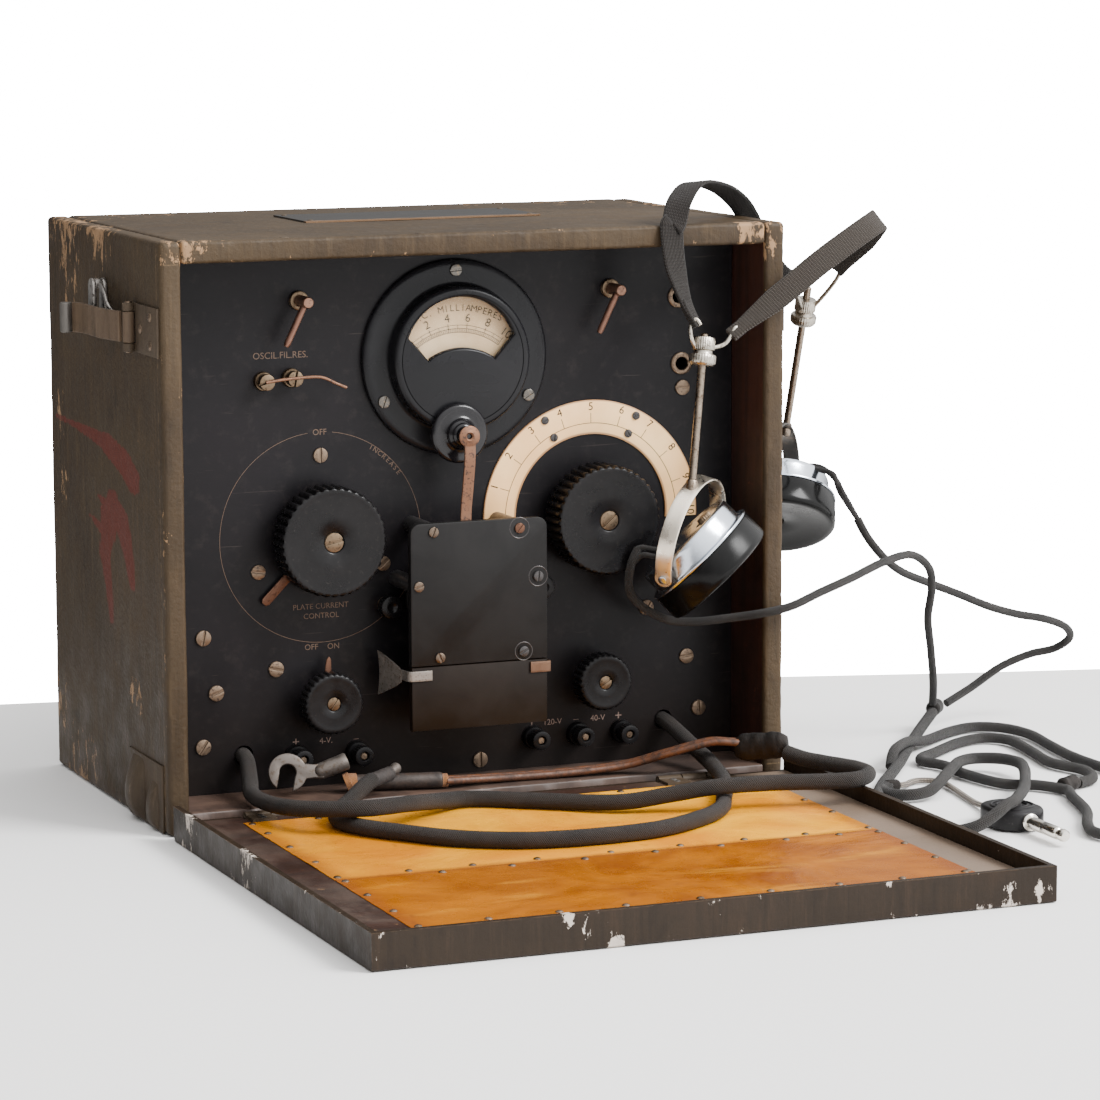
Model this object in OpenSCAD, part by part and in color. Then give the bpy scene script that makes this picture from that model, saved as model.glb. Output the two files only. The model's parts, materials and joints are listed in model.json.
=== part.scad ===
/* [Case] */
// Outside width of the wooden case
case_w = 330; // [300:1:360]
// Outside depth of the wooden case
case_d = 200; // [180:1:230]
// Outside height of the wooden case
case_h = 290; // [270:1:310]
// Thickness of the case boards
board_t = 11; // [9:0.5:14]
// Distance from the front edge of the case back to the panel
recess = 40; // [36:1:46]
// Thickness of the control panel
panel_t = 6; // [5:0.5:8]

/* [Door] */
// Height of the shallow door tray as it lies open
door_t = 17; // [15:0.5:20]
// Length of the door from its hinge edge to its free edge
door_l = 283; // [270:1:290]
// Thickness of the door rim
door_rim = 3; // [2:0.5:4]
// Top of the inner door board above the door's underside
door_board_top = 9; // [7:0.5:11]

/* [Controls] */
// Radius of the two large knurled knobs
big_knob_r = 28; // [26:0.5:30]
// Radius of the filament switch knob
switch_knob_r = 15.6; // [14:0.1:18]
// Radius of the fine control knob
fine_knob_r = 14.7; // [13:0.1:17]
// Radius of the control shafts
shaft_r = 3; // [2.5:0.1:3.5]
// Radius of the meter flange
meter_flange_r = 49.5; // [45:0.5:52]
// Radius of the meter body
meter_body_r = 36.5; // [34:0.5:40]
// Outer radius of the ivory dial scale
scale_out_r = 59; // [55:0.5:60]
// Inner radius of the ivory dial scale
scale_in_r = 41.5; // [38:0.5:44]
// Bore radius of the two phone jacks
jack_bore_r = 3.3; // [3.2:0.05:3.5]

/* [Headset] */
// Outer radius of the ear caps
ear_cap_r = 31.5; // [29:0.5:34]
// Radius of the nickel cups
ear_cup_r = 28; // [26:0.5:29]
// Width of the webbing head bands
band_w = 12.5; // [10:0.5:16]
// Radius of the phone plug barrel
plug_r = 3.17; // [3.1:0.01:3.2]

/* [Hidden] */
$fn = 48;
half_w = case_w / 2;
in_w = half_w - board_t;
front_shift = -case_d / 2;
panel_back = recess + panel_t;
fit = 0.05;
gap = 0.35;

// hinge line, measured from the front plane of the case
hinge_y = -9;
hinge_z = 8.65;
hinge_x = 110;
door_y0 = hinge_y + 2;
door_y1 = door_y0 - door_l;
notch_y = hinge_y - 3.75;

// panel positions, x and z
meter_z = 224.5;
dial_p = [74.3, 140.3];
rheo_p = [-71.4, 137];
switch_p = [-72, 55.5];
fine_p = [74.5, 56];
lever_l_p = [-82, 256];
lever_r_p = [85, 256];
jack_p = [[123.4, 250.3], [125.1, 215.8]];
cable_p = [[-113.5, 29.5], [115, 30.7]];
post_p = [[-86, 27], [-54, 26.5], [42, 27], [66.5, 27], [91, 26.5]];
side_post_p = [[-38, 101], [44, 106]];
stud_p = [[-101, 216.7], [-86.3, 217.8]];
insul_p = [-3.5, 187.7];
panel_screw_p = [[-133.8, 90.1], [-127.5, 62], [-134.7, 35.2], [128, 63.1], [134.9, 35.4],
                 [105.4, 90.1], [125.7, 203.3], [-96, 71.9], [12.9, 17.4]];
rheo_screw_p = [[-71.4, 178.3], [-104.7, 121.4], [-38.7, 121.9]];
card_screw_p = [[-23.5, 141], [-31.5, 114], [-20.5, 77.5], [22.5, 140.5], [32.5, 115.5], [24.5, 77.8]];
meter_screw_a = [90, 208, 332];
scale_screw_p = [[-25.3, 49.7], [-20.4, 40.7], [25, 49.8], [20.6, 40.8]];

// needle pivot, x and z
needle_p = [-0.5, 201.5];

// earpieces: pivot centre, cup angles, yoke angles
ear1_c = [109.2, -8, 128.7];
ear1_cup_a = [-142.2, 25.3, -142.9];
ear1_yoke_a = [-14.1, 25.3, -142.9];
ear2_c = [202.9, 90, 139.5];
ear2_cup_a = [-171.3, -33.9, -129.8];
ear2_yoke_a = [0, -33.9, -129.8];
yoke_r = 30.9;
yoke_h = 35.5;
apex1 = [102.6, -23.8, 159.8];
rod1_a = [0, 11.5, 41.7];
rod1_l = 78;
apex2 = [215.6, 105.3, 168.9];
rod2_a = [0, 16.7, -86];
rod2_l = 83;
swivel_at = 66;

// routes of the leads, from the front plane of the case
cable_r = 4;
left_cable_pts = [[-113.5, 46, 29.5], [-114, 34, 28], [-117, 20, 21], [-121, 4, 17], [-121, -22, 17.5],
    [-116, -48, 19.8], [-103, -66, 21.9], [-86, -71, 21.9], [-62, -60, 20], [-40, -42, 16], [-20, -33, 13.8],
    [9, -50, 13.6], [41, -74, 14.8], [66, -84, 18.8], [86, -91, 22], [115, -93, 22], [140, -99, 21.8],
    [157, -101, 21.8], [168, -92, 22], [168, -78, 22.2], [161, -60, 22], [155, -46, 22.2], [150, -36, 23.8]];
right_cable_pts = [[115, 46, 30.7], [115.3, 34, 29.5], [117, 14, 24], [118, 0, 20], [118, -14, 17],
    [114, -36, 14.2], [105, -60, 13.6], [95, -80, 13.6], [84, -101, 13.6], [66, -118, 13.6], [36, -133, 13.6],
    [2, -136, 13.6], [-30, -131, 13.6], [-58, -115, 13.6], [-78, -92, 13.6], [-92, -72, 13.6],
    [-97, -55, 13.8], [-92, -40, 14.8], [-82, -29, 17], [-72, -18.5, 20.3], [-63.5, -9, 21.8]];
wire_r = 1.9;
wire_pts = [[-18.8, 9.6, 15.2], [10, 13.5, 13.6], [45, 12.5, 13.4], [77, 8, 15.5], [97, -4, 22.5],
    [116, -13, 28.4], [126, -17, 28.4], [133, -18.5, 27.5]];
wire_step = [0, -4.2, 0];
branch_r = 2.2;
branch1_pts = [[88, 10, 126], [84, 10, 117], [85, 14, 104], [94, 16, 94], [108, 15, 87], [122, 11, 86],
    [138, 4, 88], [152, -5.5, 91], [166, -8, 94], [184, -3, 99], [206, 5, 104], [233, 20, 109], [256, 35, 109],
    [271, 44, 100], [277, 52, 87], [279, 60, 70], [286, 70, 52], [294, 82, 31], [300, 94, 16]];
branch2_pts = [[237, 61, 126], [240.5, 58.5, 118], [246, 57, 110], [255, 58.5, 101.5],
    [268, 66, 94], [288, 76, 86], [308, 79, 78], [327, 81, 70], [346, 84, 64], [364, 85, 60], [379, 89, 54],
    [387, 98, 46], [382, 106, 39], [368, 109.5, 36], [350, 110, 30], [332, 109.5, 20], [314, 105, 13]];
trunk_r = 3;
trunk_pts = [[300, 94, 11], [284, 76, 7], [262, 47, 4], [240, 14, 3.4], [221, -13, 3.2], [203, -38, 3.2],
    [188, -63, 3.2], [179, -88, 3.2], [175, -114, 3.2], [176, -137, 3.2], [183, -152, 3.6], [193.5, -158, 6.2],
    [204, -157, 10.8], [212.5, -153, 14.3], [221, -146, 14.5], [232, -131, 13.7], [248, -106, 11], [265, -76, 9],
    [277, -53, 8.5], [283.5, -35, 8], [281, -19, 7.4], [269, -12.5, 7.2], [256.5, -20, 7.6], [243, -37, 8],
    [230, -53, 7.4], [222, -62, 6.3], [215, -67.5, 5], [207.5, -69, 4.2], [200.5, -66, 3.6], [196.5, -59.5, 3.3],
    [196.2, -51.5, 3.2], [200, -44.5, 3.2], [206, -41.5, 3.2]];
tail_r = 1.5;
tail_pts = [[206, -41.5, 3.2], [212, -40.5, 3], [217.5, -37, 2.4], [222.5, -31.5, 2], [229, -28, 1.7],
    [235.5, -31, 1.6], [238, -39, 1.6], [236, -54, 1.6], [233, -70, 1.6], [230, -88, 1.6], [227.5, -103, 2.8],
    [225, -113, 4.6], [224.5, -118.6, 5.4]];
loop_r = 2.75;
loop_pts = [[228, 2, 3.4], [232, 8, 8], [238, 15, 10.2], [256, 36, 8.6], [276, 56, 4], [303, 78, 3], [321, 84, 3],
    [334, 74, 3], [338, 52, 3], [333, 20, 3], [329, -12, 3], [330, -45, 3], [338, -76, 3], [343, -110, 3],
    [331, -150, 3], [303, -182, 3], [272, -195, 3], [253, -191, 3], [247.5, -178, 3], [254, -160, 3],
    [268, -134, 3], [279, -100, 3],
    [284, -84, 3], [276, -68, 3], [262, -58, 3], [256, -30, 3], [256, -4, 3], [251, 8, 3], [254, 18, 3],
    [268, 29, 3], [292, 48, 3], [310, 54, 3], [320, 42, 3], [316, 10, 3], [311, -20, 3], [317, -44, 3],
    [311, -64, 3], [298, -72, 3]];
plug_c = [224.5, -137, 5.4];

// head band routes with the direction of the strap's width at each point
band1_pts = [[109.5, -15, 240], [105, -11, 252], [101.5, -6, 270], [101.5, -1.5, 288], [103.5, -0.3, 291.6],
    [109, 5, 302], [122, 16, 309.5], [142, 30, 306], [158, 43, 298], [168, 51.5, 289], [176, 58, 278],
    [190, 68, 264], [205, 76, 254]];
band1_side = [[0.9, -0.4, 0], [0.95, -0.3, 0], [1, 0, -0.1], [1, 0, -0.1], [1, -0.1, 0], [0.9, -0.4, 0],
    [0.75, -0.65, 0.1], [0.7, -0.7, 0.15], [0.65, -0.7, 0.2], [0.6, -0.75, 0.2], [0.6, -0.75, 0.2],
    [0.6, -0.75, 0.2], [0.6, -0.75, 0.2]];
band2_pts = [[128, -15, 235], [140, -14, 243], [160, -12, 256], [182, -8, 270], [203, -2, 281], [218, 6, 287],
    [227, 18, 287.5], [231, 34, 281], [231, 50, 271], [227, 66, 258]];
band2_side = [[-0.5, 0.2, 0.8], [-0.5, 0.3, 0.8], [-0.5, 0.35, 0.78], [-0.5, 0.38, 0.77], [-0.5, 0.4, 0.77],
    [-0.48, 0.41, 0.77], [-0.48, 0.41, 0.77], [-0.48, 0.41, 0.77], [-0.48, 0.41, 0.77], [-0.48, 0.41, 0.77]];
hook1_pts = [[108.6, -15.6, 229.4], [106, -15.8, 234.5], [105.8, -15.2, 240], [108.4, -15.6, 244],
    [110.6, -16.6, 241]];
hook2_pts = [[118, -14.8, 229], [124, -15, 230.5], [127, -15.2, 233.5], [131, -14.4, 239], [132.5, -14.2, 235]];
hook3_pts = [[213.7, 81.8, 237.4], [210.5, 79.4, 243], [206, 76.6, 249.5], [203, 75, 255], [205, 77.5, 257]];
hook4_pts = [[219.7, 81.1, 237.4], [223.8, 75.5, 244.5], [227.2, 69, 252.5], [228, 65, 258.5],
    [225.4, 68, 259.4]];

// ---------- helpers ----------
module at_front() {
    translate([0, front_shift, 0]) children();
}

// extrude a shape drawn in x and z between two depths
module xz(y0, y1) {
    translate([0, y1, 0]) rotate([90, 0, 0]) linear_extrude(y1 - y0) children();
}

// extrude a shape drawn in y and z between two x positions
module yz(x0, x1) {
    translate([x0, 0, 0]) rotate([90, 0, 90]) linear_extrude(x1 - x0) children();
}

module disc_y(p, r, y0, y1) {
    xz(y0, y1) translate(p) circle(r);
}

module slab(x0, x1, y0, y1, z0, z1) {
    translate([x0, y0, z0]) cube([x1 - x0, y1 - y0, z1 - z0]);
}

module both_sides() {
    children();
    mirror([1, 0, 0]) children();
}

function unit(v) = v / norm(v);
function spline(p, k) = concat([for (i = [0 : len(p) - 2]) for (j = [0 : k - 1])
    let (t = j / k, a = p[max(i - 1, 0)], b = p[i], c = p[i + 1], d = p[min(i + 2, len(p) - 1)])
    0.5 * ((2 * b) + (c - a) * t + (2 * a - 5 * b + 4 * c - d) * t * t + (3 * b - a - 3 * c + d) * t * t * t)],
    [p[len(p) - 1]]);
function tangents(p) = [for (i = [0 : len(p) - 1]) unit(p[min(i + 1, len(p) - 1)] - p[max(i - 1, 0)])];
function square_to(u, t) = unit(u - (u * t) * t);
function frames(t, u0) = [for (i = 0, u = square_to(u0, t[0]); i < len(t);
    i = i + 1, u = i < len(t) ? square_to(u, t[i]) : u) u];

module loft(rings) {
    n = len(rings[0]);
    m = len(rings);
    sides = [for (i = [0 : m - 2]) for (j = [0 : n - 1]) let (a = i * n + j, b = i * n + (j + 1) % n) each
        [[a, a + n, b + n], [a, b + n, b]]];
    caps = [[for (j = [0 : n - 1]) j], [for (j = [0 : n - 1]) m * n - 1 - j]];
    polyhedron([for (r = rings) for (q = r) q], concat(sides, caps), convexity = 8);
}

// round tube of n sides along a list of points
module tube(pts, r, n = 8, k = 1) {
    p = spline(pts, k);
    t = tangents(p);
    u = frames(t, abs(t[0][2]) > 0.8 ? [1, 0, 0] : [0, 0, 1]);
    loft([for (i = [0 : len(p) - 1]) let (v = cross(t[i], u[i]))
        [for (j = [0 : n - 1]) p[i] + r * (cos(j * 360 / n) * u[i] + sin(j * 360 / n) * v)]]);
}

// flat strap along a list of points, its width direction given at each point
module strap(pts, side, w, thick, k = 2) {
    p = spline(pts, k);
    s = spline(side, k);
    t = tangents(p);
    loft([for (i = [0 : len(p) - 1]) let (u = square_to(s[i], t[i]), v = cross(t[i], u))
        [for (c = [[1, 1], [-1, 1], [-1, -1], [1, -1]]) p[i] + u * c[0] * w / 2 + v * c[1] * thick / 2]]);
}

function arc_pts(c, r, a0, a1, n = 16) = [for (i = [0 : n]) let (a = a0 + (a1 - a0) * i / n)
    [c[0] + r * cos(a), c[1] + r * sin(a)]];

// slotted screw with its head in front of a surface at depth y
module screw_y(p, y, head_r, shank_r, depth, turn = 0) {
    difference() {
        union() {
            disc_y(p, head_r, y - 1.3, y);
            disc_y(p, shank_r, y, y + depth);
        }
        translate([p[0], y - 1.3, p[1]]) rotate([0, turn, 0]) cube([head_r * 3, 1.2, 0.9], center = true);
    }
}

module knurled(r, count, bite) {
    difference() {
        circle(r);
        for (i = [0 : count - 1]) rotate(i * 360 / count) translate([r + bite * 0.35, 0]) circle(bite, $fn = 24);
    }
}

// ---------- case ----------
module side_profile() {
    r1 = 3.5;
    r2 = 5;
    difference() {
        translate([in_w, 0]) square([board_t, case_d]);
        translate([half_w - r1, -1]) square([r1 + 1, r1 + 1]);
        translate([half_w - r2, case_d - r2]) square([r2 + 1, r2 + 1]);
    }
    translate([half_w - r1, r1]) circle(r1);
    translate([half_w - r2, case_d - r2]) circle(r2);
}

module side_board() {
    difference() {
        linear_extrude(case_h) side_profile();
        slab(in_w - 1, in_w + board_t / 2, -1, case_d + 1, case_h - board_t / 2, case_h + 1);
    }
}

module side_board_left() {
    color([0.33, 0.3, 0.24]) at_front() mirror([1, 0, 0]) side_board();
}

module side_board_right() {
    color([0.33, 0.3, 0.24]) at_front() side_board();
}

module top_board() {
    color([0.35, 0.32, 0.26]) at_front() {
        slab(-in_w, in_w, 0, case_d, case_h - board_t, case_h - board_t / 2);
        slab(-in_w - board_t / 2, in_w + board_t / 2, 0, case_d, case_h - board_t / 2, case_h);
    }
}

module bottom_board() {
    color([0.32, 0.24, 0.18]) at_front() difference() {
        slab(-in_w, in_w, 0, case_d, 0, board_t);
        both_sides() slab(hinge_x - 20.5, hinge_x + 20.5, -1, 20.5, -1, 1.6);
    }
}

module back_board() {
    color([0.33, 0.3, 0.24]) at_front()
        slab(-in_w, in_w, case_d - board_t, case_d, board_t, case_h - board_t);
}

module top_plate() {
    color([0.2, 0.19, 0.19]) at_front() slab(-59, 69, 93, 145, case_h, case_h + 0.8);
}

module shoe_rib(y0, y1, h, bulge) {
    xz(y0, y1) polygon([[half_w, h], [half_w + bulge * 0.5, h * 0.86], [half_w + bulge * 0.85, h * 0.6],
        [half_w + bulge, h * 0.3], [half_w + bulge * 0.85, h * 0.1], [half_w + bulge * 0.55, 0.3], [half_w, 0.3]]);
}

module corner_shoes() {
    color([0.34, 0.31, 0.25]) at_front() both_sides() {
        shoe_rib(37, 60, 33, 7);
        shoe_rib(14, 28, 25, 5);
    }
}

latch_y = 42;
latch_x = half_w + 3.4;
module latch_leaf() {
    difference() {
        union() {
            slab(half_w, half_w + 1.2, 3, latch_y - 3.6, 234, 258);
            for (z = [[234, 238.3], [254, 258]]) translate([latch_x, latch_y, z[0]]) cylinder(h = z[1] - z[0], r = 3);
            for (z = [[234, 238.3], [254, 258]]) slab(half_w, half_w + 1.2, latch_y - 4, latch_y + 1, z[0], z[1]);
        }
        translate([latch_x, latch_y, 230]) cylinder(h = 32, r = 1.4);
    }
    translate([latch_x, latch_y, 234]) cylinder(h = 24.8, r = 1.35);
    for (z = [239, 253]) translate([half_w + 1.2, 14, z]) rotate([0, 90, 0]) cylinder(h = 1, r = 2.4);
}

module latch_leaves() {
    color([0.36, 0.32, 0.26]) at_front() both_sides() latch_leaf();
}

module strap_loops() {
    color([0.25, 0.24, 0.23]) at_front() both_sides() {
        difference() {
            union() {
                slab(half_w, half_w + 7.6, 89, 98, 246, 262);
                translate([half_w, 93.5, 262]) rotate([0, 90, 0]) cylinder(h = 7.6, r = 4.4);
            }
            slab(half_w + 2, half_w + 5.6, 80, 110, 249, 261);
        }
        tube([[half_w + 4, 90.5, 263], [half_w + 5, 82, 262.5], [half_w + 6, 74, 260], [half_w + 6.4, 68, 255.5],
            [half_w + 4, 66, 251.5], [half_w + 1, 65.6, 249.6]], 1.1, 8, 2);
    }
}

module hinge_foot() {
    difference() {
        union() {
            slab(-20, 20, hinge_y - 1.2, 20, 0, 1.5);
            yz(-6.3, 6.3) translate([hinge_y, hinge_z]) circle(2.9);
            slab(-6.3, 6.3, hinge_y - 1.2, hinge_y + 1.4, 1, hinge_z);
        }
        yz(-8, 8) translate([hinge_y, hinge_z]) circle(1.5);
    }
    yz(-20, 20) translate([hinge_y, hinge_z]) circle(1.45);
}

module case_hinges() {
    color([0.4, 0.36, 0.3]) at_front() for (x = [-hinge_x, hinge_x]) translate([x, 0, 0]) hinge_foot();
}

// ---------- panel ----------
module panel() {
    color([0.11, 0.11, 0.12]) at_front() difference() {
        slab(-in_w + 0.4, in_w - 0.4, recess, panel_back, board_t, case_h - board_t);
        disc_y([0, meter_z], 33.2, recess - 1, panel_back + 1);
        for (p = [dial_p, rheo_p, switch_p, fine_p]) disc_y(p, shaft_r + 1, recess - 1, panel_back + 1);
        for (p = [lever_l_p, lever_r_p]) disc_y(p, 3.9, recess - 1, panel_back + 1);
        for (p = jack_p) disc_y(p, 4.6, recess - 1, panel_back + 1);
        for (p = cable_p) disc_y(p, 5, recess - 1, panel_back + 1);
        for (p = panel_screw_p) disc_y(p, 2.2, recess - 1, panel_back + 1);
        for (p = rheo_screw_p) disc_y(p, 1.8, recess - 1, panel_back + 1);
        for (p = concat(post_p, side_post_p, stud_p)) disc_y(p, 2.2, recess - 1, panel_back + 1);
        for (p = card_screw_p) disc_y(p, 1.8, recess - 1, panel_back + 1);
        for (p = scale_screw_p) disc_y(dial_p + p, 1.2, recess - 1, panel_back + 1);
        for (a = meter_screw_a) disc_y([44 * cos(a), meter_z + 44 * sin(a)], 1.5, recess - 1, panel_back + 1);
    }
}

module panel_rails() {
    color([0.42, 0.3, 0.2]) at_front() difference() {
        both_sides() slab(122, in_w, panel_back, panel_back + 12, board_t, case_h - board_t);
        for (p = panel_screw_p) disc_y(p, 2.2, panel_back - 1, panel_back + 30);
        for (p = jack_p) disc_y(p, 8, panel_back - 1, panel_back + 30);
    }
}

module panel_screws() {
    color([0.5, 0.42, 0.3]) at_front() {
        for (i = [0 : len(panel_screw_p) - 1]) screw_y(panel_screw_p[i], recess, 4, 2.15, 12, i * 37);
        for (i = [0 : 2]) screw_y(rheo_screw_p[i], recess, 3.8, 1.75, 6, 90 + i * 31);
        for (i = [0 : 2]) screw_y([44 * cos(meter_screw_a[i]), meter_z + 44 * sin(meter_screw_a[i])],
            recess - 4, 3.1, 1.45, 12, i * 50);
        for (i = [0 : 3]) screw_y(dial_p + scale_screw_p[i], recess - 1.2, 2.1, 1.15, 5, i * 40);
        for (i = [0 : 5]) screw_y(card_screw_p[i], 8, 2.7, 1.75, 38, 40 + i * 47);
    }
}

// ---------- meter ----------
module meter_window() {
    polygon(concat(arc_pts([-0.5, 226], 30.8, 20, 160, 28), [[-29.4, 236.6], [-18.4, 223.3]],
        arc_pts([-0.5, 197.8], 31.3, 124, 56, 14), [[17.4, 223.3], [28.4, 236.6]]));
}

module meter_case() {
    color([0.09, 0.09, 0.1]) at_front() difference() {
        union() {
            disc_y([0, meter_z], meter_flange_r, recess - 4, recess);
            disc_y([0, meter_z], meter_body_r, recess - 14, recess - 4);
            disc_y([0, meter_z], 33, recess, 88);
        }
        disc_y([0, meter_z], 31.4, recess - 12, 86.4);
        xz(recess - 16, recess - 11) meter_window();
        disc_y(insul_p, 5.2, recess - 16, recess - 4);
        for (a = meter_screw_a) disc_y([44 * cos(a), meter_z + 44 * sin(a)], 1.5, recess - 6, recess + 1);
    }
}

module meter_card() {
    color([0.86, 0.8, 0.66]) at_front() difference() {
        disc_y([0, meter_z], 31.3, 32.6, 33.2);
        disc_y(needle_p, 2, 32, 34);
        disc_y(insul_p, 6.6, 32, 34);
    }
}

module meter_glass() {
    color([0.8, 0.85, 0.85, 0.4]) at_front() difference() {
        disc_y([0, meter_z], 31.35, recess - 12, recess - 10.6);
        disc_y(insul_p, 6.6, 20, 34);
    }
}

module meter_movement() {
    color([0.4, 0.35, 0.33]) at_front() {
        difference() {
            disc_y([0, meter_z], 29, 52, 70);
            disc_y([0, meter_z - 2], 20, 51, 71);
            slab(-13, 13, 50, 72, 190, 212);
        }
        difference() {
            slab(-11, 11, 40, 66, 195.5, 208);
            disc_y(needle_p, 1 + fit, 39, 67);
        }
        difference() {
            disc_y([0, meter_z], 31.35, 70, 74);
            disc_y([0, meter_z], 8, 69, 75);
        }
    }
}

module meter_needle() {
    color([0.1, 0.1, 0.1]) at_front() translate([needle_p[0], 0, needle_p[1]]) {
        rotate([0, -37, 0]) slab(-0.45, 0.45, 30.6, 31.1, -6, 37.5);
        disc_y([0, 0], 2.4, 30.4, 31.3);
        disc_y([0, 0], 1, 31, 64);
    }
}

// ---------- controls ----------
module dial_scale() {
    color([0.9, 0.84, 0.7]) at_front() difference() {
        disc_y(dial_p, scale_out_r, recess - 1.2, recess);
        disc_y(dial_p, scale_in_r, recess - 2, recess + 1);
        slab(dial_p[0] - 70, dial_p[0] + 70, recess - 2, recess + 1, 60, dial_p[1] - 3.5);
        for (p = scale_screw_p) disc_y(dial_p + p, 1.2, recess - 2, recess + 1);
        disc_y([22.5, 140.5], 4.6, recess - 2, recess + 1);
    }
}

module knob_body(p, r, y0, y1, count) {
    difference() {
        union() {
            xz(y0 + 1.2, y1) translate(p) knurled(r, count, 1);
            disc_y(p, r - 1.1, y0, y1);
            disc_y(p, 6.5, y1, y1 + 2);
        }
        disc_y(p, r > 20 ? 5.4 : 3.7, y0 - 1, y0 + 1.5);
        disc_y(p, shaft_r, y0 + 3, y1 + 3);
    }
    screw_y(p, y0 + 1.5, r > 20 ? 4.9 : 3.3, 1.4, 1.5, 35);
}

module dial_knob() {
    color([0.08, 0.08, 0.085]) at_front() {
        knob_body(dial_p, big_knob_r, 14, 34, 40);
        disc_y(dial_p, shaft_r, 17, 112);
    }
}

module condenser_stator() {
    color([0.62, 0.62, 0.6]) at_front() {
        difference() {
            union() {
                disc_y(dial_p, 44, 52, 56);
                disc_y(dial_p, 44, 105, 109);
            }
            disc_y(dial_p, shaft_r + fit, 50, 110);
            for (a = [200, 270, 340]) disc_y(dial_p + 40 * [cos(a), sin(a)], 2.5, 50, 110);
        }
        for (a = [200, 270, 340]) disc_y(dial_p + 40 * [cos(a), sin(a)], 2.5, panel_back, 112);
        for (y = [60 : 7 : 101]) difference() {
            disc_y(dial_p, 43, y, y + 1.2);
            disc_y(dial_p, 7, y - 1, y + 2);
            slab(dial_p[0] - 50, dial_p[0] + 50, y - 1, y + 2, dial_p[1] - 4, dial_p[1] + 60);
            for (a = [200, 270, 340]) disc_y(dial_p + 40 * [cos(a), sin(a)], 2.5, y - 1, y + 2);
        }
    }
}

module condenser_rotor() {
    color([0.66, 0.66, 0.63]) at_front() for (y = [63.5 : 7 : 97.5]) difference() {
        union() {
            difference() {
                disc_y(dial_p, 36, y, y + 1.2);
                slab(dial_p[0] - 50, dial_p[0] + 50, y - 1, y + 2, dial_p[1] - 60, dial_p[1]);
            }
            disc_y(dial_p, 6, y - 0.6, y + 1.8);
        }
        disc_y(dial_p, shaft_r, y - 2, y + 3);
    }
}

module rheostat_knob() {
    color([0.08, 0.08, 0.085]) at_front() {
        knob_body(rheo_p, big_knob_r - 0.3, 19, 35, 40);
        disc_y(rheo_p, shaft_r, 22, 68);
        difference() {
            translate([rheo_p[0], 37.6, rheo_p[1]]) rotate([0, 135, 0]) union() {
                translate([-22, 0, 0]) cube([45, 1.2, 4.4], center = true);
                rotate([90, 0, 0]) cylinder(h = 1.2, r = 7, center = true);
            }
            disc_y(rheo_p, shaft_r, 36, 40);
        }
        difference() {
            translate([rheo_p[0], 65, rheo_p[1]]) rotate([0, 135, 0]) union() {
                translate([-15, 0, 0]) cube([34, 1, 5], center = true);
                rotate([90, 0, 0]) cylinder(h = 3, r = 6, center = true);
            }
            disc_y(rheo_p, shaft_r, 60, 70);
        }
    }
}

module rheostat_body() {
    color([0.35, 0.3, 0.26]) at_front() {
        difference() {
            disc_y(rheo_p, 42, panel_back, 52);
            disc_y(rheo_p, shaft_r + fit, 45, 53);
            for (p = rheo_screw_p) disc_y(p, 1.8, 45, 53);
        }
        difference() {
            disc_y(rheo_p, 34, 52, 62.8);
            disc_y(rheo_p, 22, 51, 64);
        }
    }
}

module switch_knob() {
    color([0.08, 0.08, 0.085]) at_front() {
        knob_body(switch_p, switch_knob_r, 20.5, 30, 26);
        disc_y(switch_p, shaft_r, 23.5, 74);
        difference() {
            translate([switch_p[0], 33.6, switch_p[1]]) rotate([0, 4.5, 0]) union() {
                translate([0, 0, 11]) cube([3.4, 1.2, 22], center = true);
                rotate([90, 0, 0]) cylinder(h = 1.2, r = 5.5, center = true);
            }
            disc_y(switch_p, shaft_r, 32, 36);
        }
    }
}

module switch_bodies() {
    color([0.16, 0.14, 0.13]) at_front() for (p = [switch_p, fine_p]) difference() {
        slab(p[0] - 17, p[0] + 17, panel_back, 66, p[1] - 15, p[1] + 15);
        disc_y(p, shaft_r + fit, 45, 67);
    }
}

module fine_knob() {
    color([0.08, 0.08, 0.085]) at_front() {
        knob_body(fine_p, fine_knob_r, 19.5, 30, 24);
        disc_y(fine_p, shaft_r, 22.5, 74);
        difference() {
            disc_y(fine_p, 6, 67, 70);
            disc_y(fine_p, shaft_r, 66, 71);
        }
    }
}

module lever(p) {
    difference() {
        union() {
            disc_y(p, 3, 23.5, 34.6);
            disc_y(p, 2.9, 34, 62);
            translate([p[0], 28, p[1]]) rotate([0, 206, 0]) cylinder(h = 24, r = 1.75);
        }
        translate([p[0], 23.5, p[1]]) rotate([90, 0, 0]) cylinder(h = 1, r = 0.8, center = true);
    }
    difference() {
        disc_y(p, 7, 58, 61);
        disc_y(p, 2.9, 57, 62);
    }
}

module lever_left() {
    color([0.5, 0.32, 0.23]) at_front() lever(lever_l_p);
}

module lever_right() {
    color([0.5, 0.32, 0.23]) at_front() lever(lever_r_p);
}

module lever_bushings() {
    color([0.6, 0.5, 0.3]) at_front() for (p = [lever_l_p, lever_r_p]) difference() {
        union() {
            disc_y(p, 4.8, recess - 3, recess);
            disc_y(p, 3.9, recess, 56);
            disc_y(p, 6.5, panel_back, 50);
        }
        disc_y(p, 2.9 + fit, 30, 60);
    }
}

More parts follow.
